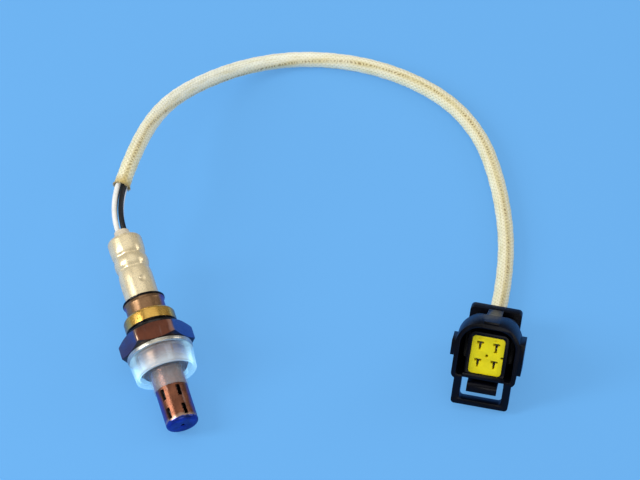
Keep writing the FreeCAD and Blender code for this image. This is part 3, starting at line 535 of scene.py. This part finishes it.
def rounded(outline, steps=6):
    # (r, w) points, or (r, w, radius) where the corner is rounded
    points = []
    for index, (r, w, *radius) in enumerate(outline):
        here = Vector((r, w))
        if not radius:
            points.append(here)
            continue
        back = (Vector(outline[index - 1][:2]) - here).normalized()
        ahead = (Vector(outline[(index + 1) % len(outline)][:2]) - here).normalized()
        half = back.angle(ahead) / 2
        reach = radius[0] / tan(half)
        centre = here + (back + ahead).normalized() * (radius[0] / sin(half))
        start = here + back * reach - centre
        sweep = -start.angle_signed(here + ahead * reach - centre)
        for step in range(steps + 1):
            points.append(centre + Matrix.Rotation(sweep * step / steps, 2) @ start)
    return points


def circle(radius, height, steps):
    turns = [2 * pi * step / steps for step in range(steps)]
    return [(radius * cos(turn), radius * sin(turn), height) for turn in turns]


def ring_mesh(name, rings, closed_profile=False, caps=False):
    # a mesh from rings of points, each ring closed on itself
    count = len(rings[0])
    points = [tuple(spot) for ring in rings for spot in ring]
    faces = []
    for row in range(len(rings) if closed_profile else len(rings) - 1):
        after = (row + 1) % len(rings)
        for column in range(count):
            side = (column + 1) % count
            faces.append((
                row * count + column, row * count + side,
                after * count + side, after * count + column))
    if caps:
        faces.append(tuple(reversed(range(count))))
        faces.append(tuple(range(len(points) - count, len(points))))
    mesh = bpy.data.meshes.new(name)
    mesh.from_pydata(points, [], faces)
    return mesh


def finish_mesh(name, mesh, angle=35):
    # a mesh drawn about the sensor's axis, put in its place and made an object
    mesh.transform(SENSOR @ MM)
    with editing(mesh) as bm:
        bmesh.ops.remove_doubles(bm, verts=bm.verts, dist=1e-6)
        bmesh.ops.recalc_face_normals(bm, faces=bm.faces)
    smooth(mesh, angle)
    return add(name, mesh)


def lathe(name, outline, steps=144):
    rings = [circle(r, w, steps) for r, w in rounded(outline)]
    return finish_mesh(name, ring_mesh(name, rings, True))


def apply_modifiers(piece):
    seen = piece.evaluated_get(bpy.context.evaluated_depsgraph_get())
    made = bpy.data.meshes.new_from_object(seen)
    piece.modifiers.clear()
    piece.data = made


def modify(piece, kind, **settings):
    modifier = piece.modifiers.new("change", kind)
    for name, value in settings.items():
        setattr(modifier, name, value)
    apply_modifiers(piece)


def take_mesh(piece):
    mesh = piece.data
    bpy.data.objects.remove(piece)
    return mesh


def join_meshes(piece, *others):
    with editing(piece.data) as bm:
        for other in others:
            bm.from_mesh(take_mesh(other))
    smooth(piece.data, 35)


def settle(piece, material, node):
    piece.data.materials.clear()
    piece.data.materials.append(material)
    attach(piece, "root")
    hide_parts(node)
    return piece


# Sensor pieces

def hex_nut():
    # a prism that stands past both ends, cut by the turned shape that chamfers them
    spare = 0.2
    mesh = bpy.data.meshes.new("hex_nut")
    with editing(mesh) as bm:
        corner = HEX_FLATS / 2 / cos(radians(30))
        turns = [radians(30 + 60 * side) for side in range(6)]
        base = bm.faces.new([
            bm.verts.new((corner * cos(turn), corner * sin(turn), -spare)) for turn in turns])
        raised = bmesh.ops.extrude_face_region(bm, geom=[base])["geom"]
        bmesh.ops.translate(
            bm, vec=(0, 0, HEX_TOP + 2 * spare),
            verts=[v for v in raised if isinstance(v, bmesh.types.BMVert)])
        upright = [e for e in bm.edges if abs(e.verts[0].co.z - e.verts[1].co.z) > 1]
        bmesh.ops.bevel(
            bm, geom=upright, offset=0.28, segments=3, affect="EDGES", profile=0.5)
        bmesh.ops.recalc_face_normals(bm, faces=bm.faces)
    nut = add("hex_nut", mesh)
    outline = rounded([
        (BORE, 0), (10.85, 0), (11.0, 0.04), (12.8, 1.02), (12.8, 4.98), (11.0, 5.96),
        (10.85, HEX_TOP), (BORE, HEX_TOP)])
    mesh = ring_mesh("dome", [circle(r, w, 192) for r, w in outline], True)
    with editing(mesh) as bm:
        bmesh.ops.recalc_face_normals(bm, faces=bm.faces)
    dome = add("dome", mesh)
    modify(nut, "BOOLEAN", operation="INTERSECT", solver="EXACT", object=dome)
    bpy.data.objects.remove(dome)
    modify(
        nut, "BEVEL", width=0.1, segments=2, limit_method="ANGLE", angle_limit=radians(28),
        use_clamp_overlap=False)
    return finish_mesh("shell_with_thread", take_mesh(nut), 20)


def thread_turns_tree():
    # a ridge that runs round and down the nose
    tree = bpy.data.node_groups.new("thread_turns", "GeometryNodeTree")
    for label, default in (
            ("Pitch", 1.5), ("Turns", 3.2), ("Root Radius", 8.1), ("Crest Radius", 9.0),
            ("Top", -1.4)):
        socket = tree.interface.new_socket(label, in_out="INPUT", socket_type="NodeSocketFloat")
        socket.default_value = default
    tree.interface.new_socket("Material", in_out="INPUT", socket_type="NodeSocketMaterial")
    tree.interface.new_socket("Geometry", in_out="OUTPUT", socket_type="NodeSocketGeometry")
    graph = Graph(tree)
    given = graph.node("NodeGroupInput").outputs
    fall = graph.times(given["Pitch"], given["Turns"])
    helix = graph.node("GeometryNodeCurveSpiral", {
        "Resolution": 72, "Rotations": given["Turns"], "Start Radius": given["Root Radius"],
        "End Radius": given["Root Radius"], "Height": fall, "Reverse": False}).outputs[0]
    upright = graph.node("GeometryNodeSetCurveNormal", {0: helix}, mode="Z_UP").outputs[0]
    depth = graph.math("SUBTRACT", given["Crest Radius"], given["Root Radius"])
    half = graph.times(given["Pitch"], 0.47)
    crest = graph.times(given["Pitch"], 0.07)
    sunk = graph.times(depth, -0.3)
    section = graph.node("GeometryNodeCurvePrimitiveQuadrilateral", mode="POINTS")
    corners = (
        (sunk, half), (depth, crest), (depth, graph.times(crest, -1.0)),
        (sunk, graph.times(half, -1.0)))
    for number, (x, y) in enumerate(corners, 1):
        graph.put(section.inputs["Point %d" % number], graph.vector(x, y, 0.0))
    ridge = graph.node("GeometryNodeCurveToMesh", {
        "Curve": upright, "Profile Curve": section.outputs[0], "Fill Caps": True}).outputs[0]
    low = graph.math("SUBTRACT", given["Top"], fall)
    placed = graph.node("GeometryNodeTransform", {
        "Geometry": ridge, "Translation": graph.vector(0.0, 0.0, low)}).outputs[0]
    real = graph.node("GeometryNodeRealizeInstances", {0: placed}).outputs[0]
    coated = graph.node("GeometryNodeSetMaterial", {0: real, "Material": given["Material"]})
    graph.put(graph.node("NodeGroupOutput").inputs[0], coated.outputs[0])
    return tree


def thread_ridge(material):
    # the tree run on an empty mesh, with its result kept as a plain mesh
    piece = add("ridge", bpy.data.meshes.new("ridge"))
    grow = piece.modifiers.new("grow", "NODES")
    grow.node_group = thread_turns_tree()
    for item in grow.node_group.interface.items_tree:
        if item.name == "Material":
            grow[item.identifier] = material
    apply_modifiers(piece)
    piece.data.transform(SENSOR @ MM)
    return piece


def metal_shell(made):
    shell = hex_nut()
    neck = lathe("neck", [
        (BORE, 5.5), (9.4, 5.5), (9.4, 7.5, 0.3), (8.0, 7.5), (8.0, 11.5, 0.2), (5.7, 11.5),
        (5.7, 10.6), (BORE, 10.6)])
    nose = lathe("nose", [
        (5.0, -3.0), (5.0, -5.3), (6.7, -5.3), (6.7, -6.25), (5.7, -6.25), (5.7, -7.7),
        (7.5, -7.7, 0.25), (7.5, -7.1), (8.1, -6.6), (8.1, -1.3), (7.9, -1.1), (7.9, 0.5),
        (BORE, 0.5), (BORE, -1.6)])
    join_meshes(shell, neck, nose, thread_ridge(made["hex_steel"]))
    return settle(shell, made["hex_steel"], "metal_shell")


def gasket(made):
    piece = lathe("folded_gasket", [
        (8.1, -1.8), (9.0, -1.8, 0.1), (10.6, -1.76, 0.3), (11.15, -1.5, 0.3),
        (11.2, -1.05, 0.2), (10.9, -0.9, 0.08), (11.2, -0.75, 0.2), (11.15, -0.3, 0.3),
        (10.6, -0.04, 0.3), (9.0, 0.0, 0.1), (8.1, 0.0)])
    return settle(piece, made["washer_steel"], "gasket")


def crimp_ring(made):
    piece = lathe("rolled_ring", [
        (8.05, 7.55), (8.75, 7.55, 0.15), (8.75, 8.0, 0.1), (8.62, 8.1, 0.1), (8.8, 8.35, 0.15),
        (8.8, 12.2, 0.5), (8.2, 13.0, 0.5), (6.75, 13.0, 0.15), (6.75, 12.1), (8.05, 12.1)])
    return settle(piece, made["gold_plate"], "crimp_ring")


def lower_sleeve(made):
    piece = lathe("flared_sleeve", [
        (6.15, 11.55), (7.9, 11.55), (7.9, 12.05), (6.65, 12.05), (6.65, 17.4, 0.6),
        (7.2, 18.35, 0.2), (7.25, 18.95, 0.2), (6.8, 19.0, 0.15), (6.15, 17.7, 0.5)], 160)
    return settle(piece, made["brown_steel"], "lower_sleeve")


CRIMPS = ((35.7, 0.42), (30.7, 0.36))
JAWS = 8
DIMPLES = 4
DIMPLE_HEIGHT = 25.0
DIMPLE_REACH = 1.5


def ease(share):
    share = max(0.0, min(1.0, share))
    return share * share * (3 - 2 * share)


def sleeve_radius(w, angle):
    # the drawn sleeve with its flare, and full bands between two lines of jaw marks and four
    # dimples
    radius = SLEEVE_SKIN + 0.35 * ease((17.2 - w) / 2.0)
    radius += 0.18 * max(0.0, min(1.0, (w - 29.0) / 4.0))
    for station, depth in CRIMPS:
        away = w - station
        jaw = 0.72 + 0.28 * cos(JAWS * angle + station)
        radius -= depth * jaw * exp(-(away / 0.75) ** 2) + 0.26 * exp(-(away / 1.9) ** 2)
    for mark in range(DIMPLES):
        turn = (angle - radians(18 + 90 * mark) + pi) % (2 * pi) - pi
        away = hypot(turn * SLEEVE_SKIN, w - DIMPLE_HEIGHT) / DIMPLE_REACH
        if away < 1.0:
            radius -= 0.5 * (1 - away * away) ** 2
    return radius


def upper_sleeve(made):
    steps = 192
    rows = 133
    row_height = 0.22
    rim, curl = 5.91, 1.1
    rings = []
    for row in range(rows):
        w = SLEEVE_BOTTOM + row_height * row
        ring = []
        for step in range(steps):
            angle = 2 * pi * step / steps
            radius = sleeve_radius(w, angle)
            ring.append((radius * cos(angle), radius * sin(angle), w))
        rings.append(ring)
    for step in range(1, 9):
        turn = step * pi / 16
        height = w + (SLEEVE_TOP - w) * sin(turn)
        rings.append(circle(rim - curl + curl * cos(turn), height, steps))
    inside = (
        (3.5, SLEEVE_TOP), (3.3, 42.9), (3.3, 42.55), (5.2, 42.5), (5.2, 33.0), (4.9, 30.0),
        (5.3, 28.0), (5.3, 17.2), (5.6, 15.0), (5.6, SLEEVE_BOTTOM))
    rings += [circle(radius, height, steps) for radius, height in inside]
    piece = finish_mesh("crimped_sleeve", ring_mesh("crimped_sleeve", rings, True), 40)
    return settle(piece, made["nickel_plate"], "upper_sleeve")


def wire_grommet(made):
    piece = lathe("wire_grommet_neck", [
        (0, 28.0), (4.7, 28.0, 0.4), (4.7, 42.4, 0.3), (3.0, 42.5), (2.95, 44.6, 0.5),
        (2.6, 45.4, 0.5), (2.6, GROMMET_END, 0.4), (0, 46.25)], 96)
    return settle(piece, made["beige_rubber"], "wire_grommet")


SHROUD_RADIUS = 5.2
SHROUD_WALL = 0.5
LOUVRES = 6
LOUVRE_TURN = 21.0
LOUVRE_MIDDLES = (SHROUD_TIP + 10.6, SHROUD_TIP + 3.7)
LOUVRE_LENGTH = 3.9
LOUVRE_HALF = degrees(0.75 / 5.45)
WINDOW_STEPS = 8
WALL_STEPS = 16


def shroud_profile():
    # down the wall, round the edge and in to the hole in the end
    profile = [(SHROUD_RADIUS, w) for w in (-6.2, -7.0, -9.0, -11.5, -13.5)]
    for middle in LOUVRE_MIDDLES:
        for step in range(WINDOW_STEPS + 1):
            w = middle + LOUVRE_LENGTH / 2 - LOUVRE_LENGTH * step / WINDOW_STEPS
            profile.append((SHROUD_RADIUS, w))
    bend = 0.85
    floor = SHROUD_TIP + SHROUD_WALL / 2
    for step in range(9):
        turn = pi / 2 * step / 8
        profile.append((SHROUD_RADIUS - bend + bend * cos(turn), floor + bend - bend * sin(turn)))
    for radius, rise in ((3.2, 0), (1.9, 0), (1.2, 0.02), (0.95, 0.1), (0.85, 0.25)):
        profile.append((radius, floor + rise))
    return profile


def louvre_flap(bm, middle, high, low):
    # bends in from the window's left edge, and less at its two ends
    steps = 6
    columns = []
    for step in range(steps + 1):
        share = step / steps
        turn = radians(middle - LOUVRE_HALF * (1 - 2 * share * 0.97))
        sunk = 0.5 * min(1.0, share * 3.0) + 0.45 * share
        column = []
        for up in range(steps + 1):
            w = high - 0.12 - (high - low - 0.24) * up / steps
            radius = SHROUD_RADIUS - sunk * (0.55 + 0.45 * min(1.0, min(up, steps - up) / 1.2))
            column.append(bm.verts.new((radius * cos(turn), radius * sin(turn), w)))
        columns.append(column)
    for left, right in zip(columns, columns[1:]):
        for up in range(steps):
            bm.faces.new((left[up], left[up + 1], right[up + 1], right[up]))


def outer_shroud(made):
    # one skin, thickened at the end: windows stay open, and each has a flap
    middles = [LOUVRE_TURN + number * 360 / LOUVRES for number in range(LOUVRES)]
    turns = []
    for middle in middles:
        for step in range(WINDOW_STEPS + 1):
            turns.append(middle - LOUVRE_HALF + 2 * LOUVRE_HALF * step / WINDOW_STEPS)
        for step in range(1, WALL_STEPS):
            turns.append(
                middle + LOUVRE_HALF + (360 / LOUVRES - 2 * LOUVRE_HALF) * step / WALL_STEPS)
    windows = [(w + LOUVRE_LENGTH / 2, w - LOUVRE_LENGTH / 2) for w in LOUVRE_MIDDLES]
    mesh = bpy.data.meshes.new("louvred_shroud")
    with editing(mesh) as bm:
        profile = shroud_profile()
        grid = []
        for r, w in profile:
            grid.append([
                bm.verts.new((r * cos(radians(t)), r * sin(radians(t)), w)) for t in turns])
        for row in range(len(profile) - 1):
            w = (profile[row][1] + profile[row + 1][1]) / 2
            open_row = any(high > w > low for high, low in windows)
            for column in range(len(turns)):
                if open_row and column % (WINDOW_STEPS + WALL_STEPS) < WINDOW_STEPS:
                    continue
                side = (column + 1) % len(turns)
                bm.faces.new((
                    grid[row][column], grid[row][side], grid[row + 1][side],
                    grid[row + 1][column]))
        for middle in middles:
            for high, low in windows:
                louvre_flap(bm, middle, high, low)
        bmesh.ops.recalc_face_normals(bm, faces=bm.faces)
    skin = add("louvred_shroud", mesh)
    modify(skin, "SOLIDIFY", thickness=SHROUD_WALL, offset=0.0)
    piece = finish_mesh("louvred_shroud", take_mesh(skin), 40)
    flange = lathe("flange", [(4.95, -5.75), (6.55, -5.75), (6.55, -6.2), (4.95, -6.2)], 96)
    join_meshes(piece, flange)
    return settle(piece, made["probe_steel"], "outer_shroud")


def thread_protector(made):
    piece = lathe("protector_cap", [
        (10.05, -2.1), (11.0, -2.1, 0.3), (10.3, -9.05, 0.3), (9.35, -9.05, 0.2),
        (9.4, -8.4, 0.1), (6.1, -8.4, 0.6), (6.0, -12.4, 0.2), (5.85, -14.8, 0.2),
        (5.5, -14.8, 0.1), (5.5, -7.8), (9.45, -7.8, 0.1)], 160)
    section = ((9.08, -7.85), (9.6, -7.85), (10.2, -2.9), (9.08, -2.9))
    grip_angle = 1.6 / 9.0
    ribs = []
    for number in range(6):
        start = radians(10 + 60 * number)
        rings = []
        for step in range(7):
            turn = start + grip_angle * step / 6
            rings.append([(r * cos(turn), r * sin(turn), w) for r, w in section])
        ribs.append(finish_mesh("rib", ring_mesh("rib", rings, caps=True)))
    join_meshes(piece, *ribs)
    return settle(piece, made["milky_plastic"], "thread_protector")


# Connector pieces

def softened_copy(name, node, width):
    # the solid's own shape with its edges broken, as a moulding has
    mesh = nodes[node].data.copy()
    with editing(mesh) as bm:
        bmesh.ops.remove_doubles(bm, verts=bm.verts, dist=1e-6)
        bmesh.ops.dissolve_limit(
            bm, angle_limit=radians(1.0), verts=bm.verts, edges=bm.edges)
    piece = add(name, mesh)
    modify(
        piece, "BEVEL", width=width, segments=2, limit_method="ANGLE", angle_limit=radians(30))
    smooth(piece.data, 40)
    return piece


def connector(made):
    for key, name, node, width, material, slot in (
            ("housing", "moulded_housing", "connector_housing", 0.00022, "black_nylon",
             "housing_plastic"),
            ("lock_plate", "lock_plate", "terminal_lock", 0.0001, "yellow_nylon",
             "lock_plastic"),
            ("retainer", "back_cap", "seal_retainer", 0.00012, "black_nylon",
             "housing_plastic")):
        made[key] = settle(softened_copy(name, node, width), made[material], node)


# Lead: the route's points, in metres, from the grommet's end to the back of the connector

def lead_points():
    along = (SENSOR.to_3x3() @ Vector((0, 0, 1))).normalized()
    leave = SENSOR @ Vector((0, 0, GROMMET_END * MILLI))
    entry = CONNECTOR @ Vector((0, CAP_BACK * MILLI, ENTRY_HEIGHT * MILLI))
    rear = CONNECTOR.to_3x3() @ Vector((0, 1, 0))
    middle = [
        (0.0099, 0.0592, 0.0320), (0.0225, 0.0799, 0.0265), (0.0350, 0.0950, 0.0200),
        (0.0499, 0.1066, 0.0130), (0.0676, 0.1155, 0.0065), (0.0872, 0.1170, 0.0031),
        (0.1064, 0.1089, 0.0031), (0.1221, 0.0959, 0.0031), (0.1336, 0.0786, 0.0031),
        (0.1380, 0.0589, 0.0031), (0.1364, 0.0385, 0.0031), (0.1323, 0.0191, 0.0031),
        (0.1274, 0.0042, 0.0031), (0.1209, -0.0101, 0.0032)]
    return [
        leave, leave + along * 0.009, *[Vector(spot) for spot in middle], entry + rear * 0.0075,
        entry]


def lead_line(points):
    curve = bpy.data.curves.new("lead_line", "CURVE")
    curve.dimensions = "3D"
    spline = curve.splines.new("NURBS")
    spline.points.add(len(points) - 1)
    for point, spot in zip(spline.points, points):
        point.co = (*spot, 1.0)
    spline.order_u = 3
    spline.use_endpoint_u = True
    spline.resolution_u = 24
    line = add("lead_line", curve)
    bpy.context.view_layer.update()
    mesh = bpy.data.meshes.new_from_object(
        line.evaluated_get(bpy.context.evaluated_depsgraph_get()))
    bpy.data.objects.remove(line)
    path = [vertex.co.copy() for vertex in mesh.vertices]
    if (path[0] - points[0]).length > (path[-1] - points[0]).length:
        path.reverse()
    return path


def frames_along(path, first):
    # two directions square to the path, carried along it without twist
    made = []
    across = first.copy()
    for index in range(len(path)):
        run = (path[min(index + 1, len(path) - 1)] - path[max(index - 1, 0)]).normalized()
        across = (across - run * across.dot(run)).normalized()
        made.append((across.copy(), run.cross(across)))
    return made


def steps_along(path):
    return [(b - a).length for a, b in zip(path, path[1:])]


def ring_round(spot, across, beside, radius, sides):
    turns = [2 * pi * side / sides for side in range(sides)]
    return [
        spot + across * (radius * cos(turn)) + beside * (radius * sin(turn)) for turn in turns]


def tube_rings(path, radii, sides, first):
    return [
        ring_round(spot, across, beside, radius, sides)
        for spot, (across, beside), radius in zip(path, frames_along(path, first), radii)]


def tube_piece(name, rings, heights=None):
    # a capped tube; heights give each ring's v on a map whose u runs once round it
    mesh = ring_mesh(name, rings, caps=True)
    if heights:
        count = len(rings[0])
        chart = mesh.uv_layers.new(name="around")
        for face in mesh.polygons:
            columns = [mesh.loops[each].vertex_index % count for each in face.loop_indices]
            on_seam = len(columns) == 4 and max(columns) == count - 1
            for loop in face.loop_indices:
                row, column = divmod(mesh.loops[loop].vertex_index, count)
                turn = 1.0 if on_seam and column == 0 else column / count
                chart.data[loop].uv = (turn, heights[row])
    with editing(mesh) as bm:
        bmesh.ops.recalc_face_normals(bm, faces=bm.faces)
    smooth(mesh, 50)
    return add(name, mesh)


TERMINALS = ((2.7, 3.1), (2.7, -3.1), (-2.7, -3.1), (-2.7, 3.1))
WIRES = (
    (0, "signal_wire", "black_jacket", "wire_black"),
    (3, "heater_wire_1", "white_jacket", "wire_white"),
    (2, "ground_wire", "grey_jacket", "wire_grey"),
    (1, "heater_wire_2", "white_jacket", "wire_white"))


def fan_out(start, terminal):
    # from the sleeve's end to the wire's own terminal, in the connector's frame
    back, front = 27.05, 18.7
    steps = 24
    x, z = TERMINALS[terminal]
    spots = []
    for step in range(steps + 1):
        y = back + (front - back) * (step / steps)
        share = ease(step / steps)
        spots.append(Vector((start.x + (x - start.x) * share, y, start.z + (z - start.z) * share)))
    spots += [Vector((x, 16.0, z)), Vector((x, 13.0, z))]
    return [CONNECTOR @ (spot * MILLI) for spot in spots]


FRAYED = 46


def frayed_yarns(spot, run, across, beside):
    # loose ends that stand out from the sleeve's cut edge
    yarns = []
    for number in range(FRAYED):
        chance = sin(number * 12.9898) * 43758.5453 % 1.0
        other = sin(number * 78.233) * 12543.123 % 1.0
        turn = 2 * pi * (number + chance) / FRAYED
        out = across * cos(turn) + beside * sin(turn)
        along = across * -sin(turn) + beside * cos(turn)
        length = 0.0005 + 0.0008 * other
        line = []
        for share in (0.0, 1 / 3, 2 / 3, 1.0):
            line.append(
                spot + out * (0.0025 + 0.0006 * share * (0.3 + chance))
                + run * (0.0005 - length * share) + along * (0.0006 * (other - 0.5) * share))
        rings = tube_rings(line, (0.00016, 0.00015, 0.00012, 0.00005), 5, across)
        yarns.append(tube_piece("yarn", rings, [-0.1] * len(line)))
    return yarns


def woven_sleeve(made, points, path, frames):
    middle = (points[1] + points[2]) * 0.5
    start = min(range(len(path)), key=lambda index: (path[index] - middle).length)
    inner = CONNECTOR @ Vector((0, (CAP_BACK - 1.2) * MILLI, ENTRY_HEIGHT * MILLI))
    sleeve_path = path[start:] + [inner]
    across, beside = frames[start]
    travel = [0.0]
    for step in steps_along(sleeve_path):
        travel.append(travel[-1] + step)
    radii = []
    for far in travel:
        lump = 0.00004 * sin(far * 900.0) + 0.00003 * sin(far * 2300.0 + 1.0)
        radii.append(SLEEVE_RADIUS - 0.00004 + lump)
    radii[0] = SLEEVE_RADIUS - 0.0002
    sides = 48
    run = (sleeve_path[1] - sleeve_path[0]).normalized()
    lining = [
        ring_round(sleeve_path[0] + run * depth, across, beside, radius, sides)
        for depth, radius in ((0.004, 0.0025), (0.0002, 0.0025), (0.0, 0.0026))]
    girth = 2 * pi * SLEEVE_RADIUS
    heights = [-0.2, -0.05, -0.02] + [far / girth for far in travel]
    sleeve = tube_piece(
        "woven_sleeve", lining + tube_rings(sleeve_path, radii, sides, across), heights)
    join_meshes(sleeve, *frayed_yarns(sleeve_path[0], run, across, beside))
    settle(sleeve, made["braided_cloth"], "harness_sleeve")


def wires(made, path, frames):
    # four lines beside each other, with the terminals shared out for the shortest detours
    ends = {}
    for number, *_ in WIRES:
        turn = radians(45 + 90 * number)
        ends[number] = [
            spot + (across * cos(turn) + beside * sin(turn)) * (WIRE_CIRCLE * MILLI)
            for spot, (across, beside) in zip(path, frames)]
    back = CONNECTOR.inverted()
    arrived = {number: (back @ line[-1]) * 1000 for number, line in ends.items()}

    def detour(shift):
        total = 0.0
        for number, spot in arrived.items():
            x, z = TERMINALS[(shift - number) % 4]
            total += hypot(x - spot.x, z - spot.z)
        return total

    shift = min(range(4), key=detour)
    for number, name, material, slot in WIRES:
        turn = radians(45 + 90 * number)
        spot = Vector((WIRE_CIRCLE * cos(turn), WIRE_CIRCLE * sin(turn), WIRE_START))
        terminal = (shift - number) % 4
        line = [SENSOR @ (spot * MILLI)] + ends[number] + fan_out(arrived[number], terminal)
        rings = tube_rings(line, [WIRE_RADIUS] * len(line), 20, frames[0][0])
        piece = settle(tube_piece(name + "_jacket", rings), made[material], name)


def lay_lead(made):
    points = lead_points()
    path = lead_line(points)
    frames = frames_along(path, (SENSOR.to_3x3() @ Vector((1, 0, 0))).normalized())
    woven_sleeve(made, points, path, frames)
    wires(made, path, frames)


# Solids that keep their own shape

def dress_solids(made):
    finishes = {
        "inner_steel": ["inner_shroud"],
        "white_ceramic": ["sensing_element", "heater_rod", "ceramic_bush", "terminal_insulator"],
        "pressed_talc": ["talc_seal"],
        "spring_strip": [
            "signal_contact", "ground_contact", "heater_contact_1", "heater_contact_2"],
        "tin_plate": ["terminal_%d" % number for number in range(1, 5)],
        "seal_rubber": ["wire_seal_%d" % number for number in range(1, 5)]}
    for finish, names in finishes.items():
        for name in names:
            for slot in nodes[name].material_slots:
                slot.material = made[finish]


# Floor, backdrop and light

SEEN_BLUE = shade(0.168, 0.475, 0.93)


def emptied(tree):
    # a node tree with nothing in it but a light path
    tree.nodes.clear()
    graph = Graph(tree)
    return graph, graph.node("ShaderNodeLightPath").outputs


def floor():
    # one even blue to the camera, darker in reflections, that still takes soft shadows
    reach = 3
    mesh = bpy.data.meshes.new("floor")
    mesh.from_pydata(
        [(-reach, -reach, 0), (reach, -reach, 0), (reach, reach, 0), (-reach, reach, 0)], [],
        [(0, 1, 2, 3)])
    material = bpy.data.materials.new("floor_paint")
    material.use_nodes = True
    graph, ray = emptied(material.node_tree)
    tone = graph.blend(ray["Is Glossy Ray"], SEEN_BLUE, shade(0.05, 0.2, 0.75))
    light = graph.node("ShaderNodeEmission", {"Color": tone, "Strength": 1.0})
    paint = graph.node("ShaderNodeBsdfDiffuse", {"Color": shade(0.13, 0.39, 0.76)})
    seen = graph.math("MAXIMUM", ray["Is Camera Ray"], ray["Is Glossy Ray"])
    seen = graph.math("MAXIMUM", seen, ray["Is Transmission Ray"])
    mix = graph.node("ShaderNodeMixShader", {
        0: graph.times(seen, 0.6), 1: paint.outputs[0], 2: light.outputs[0]})
    graph.node("ShaderNodeOutputMaterial", {0: mix.outputs[0]})
    mesh.materials.append(material)
    add("floor", mesh)


def backdrop():
    world = bpy.data.worlds.new("studio_air")
    scene.world = world
    world.use_nodes = True
    graph, ray = emptied(world.node_tree)
    air = graph.blend(ray["Is Glossy Ray"], shade(0.5, 0.5, 0.5), shade(0.09, 0.095, 0.105))
    air = graph.blend(ray["Is Camera Ray"], air, SEEN_BLUE)
    light = graph.node("ShaderNodeBackground", {"Color": air, "Strength": 1.0})
    graph.node("ShaderNodeOutputWorld", {0: light.outputs[0]})


def lamps():
    for name, place, aim, wide, deep, power in (
            ("key_light", (-0.71, 0.05, 0.53), (0.0, 0.0, 0.01), 0.25, 0.5, 5.0),
            ("over_light", (0.1, 0.1, 1.1), (0.05, 0.0, 0), 1.0, 1.0, 1.9),
            ("side_light", (0.85, 0.0, 0.45), (0.08, 0.0, 0), 0.3, 0.4, 1.2),
            ("front_light", (-0.1, -0.95, 0.55), (0.05, 0.0, 0), 0.7, 0.5, 1.8),
            ("back_light", (-0.1, 1.1, 0.42), (0.0, 0.0, 0.01), 0.3, 0.3, 0.6)):
        data = bpy.data.lights.new(name, "AREA")
        data.shape = "RECTANGLE"
        data.energy = power
        data.size = wide
        data.size_y = deep
        lamp = add(name, data)
        lamp.location = place
        facing = Vector(aim) - Vector(place)
        lamp.rotation_euler = facing.to_track_quat("-Z", "Y").to_euler()


def build_all():
    set_camera()
    made = make_materials()
    connector(made)
    lay_lead(made)
    for piece in (
            metal_shell, gasket, crimp_ring, lower_sleeve, upper_sleeve, wire_grommet,
            outer_shroud, thread_protector, dress_solids):
        piece(made)
    floor()
    backdrop()
    lamps()


build_all()
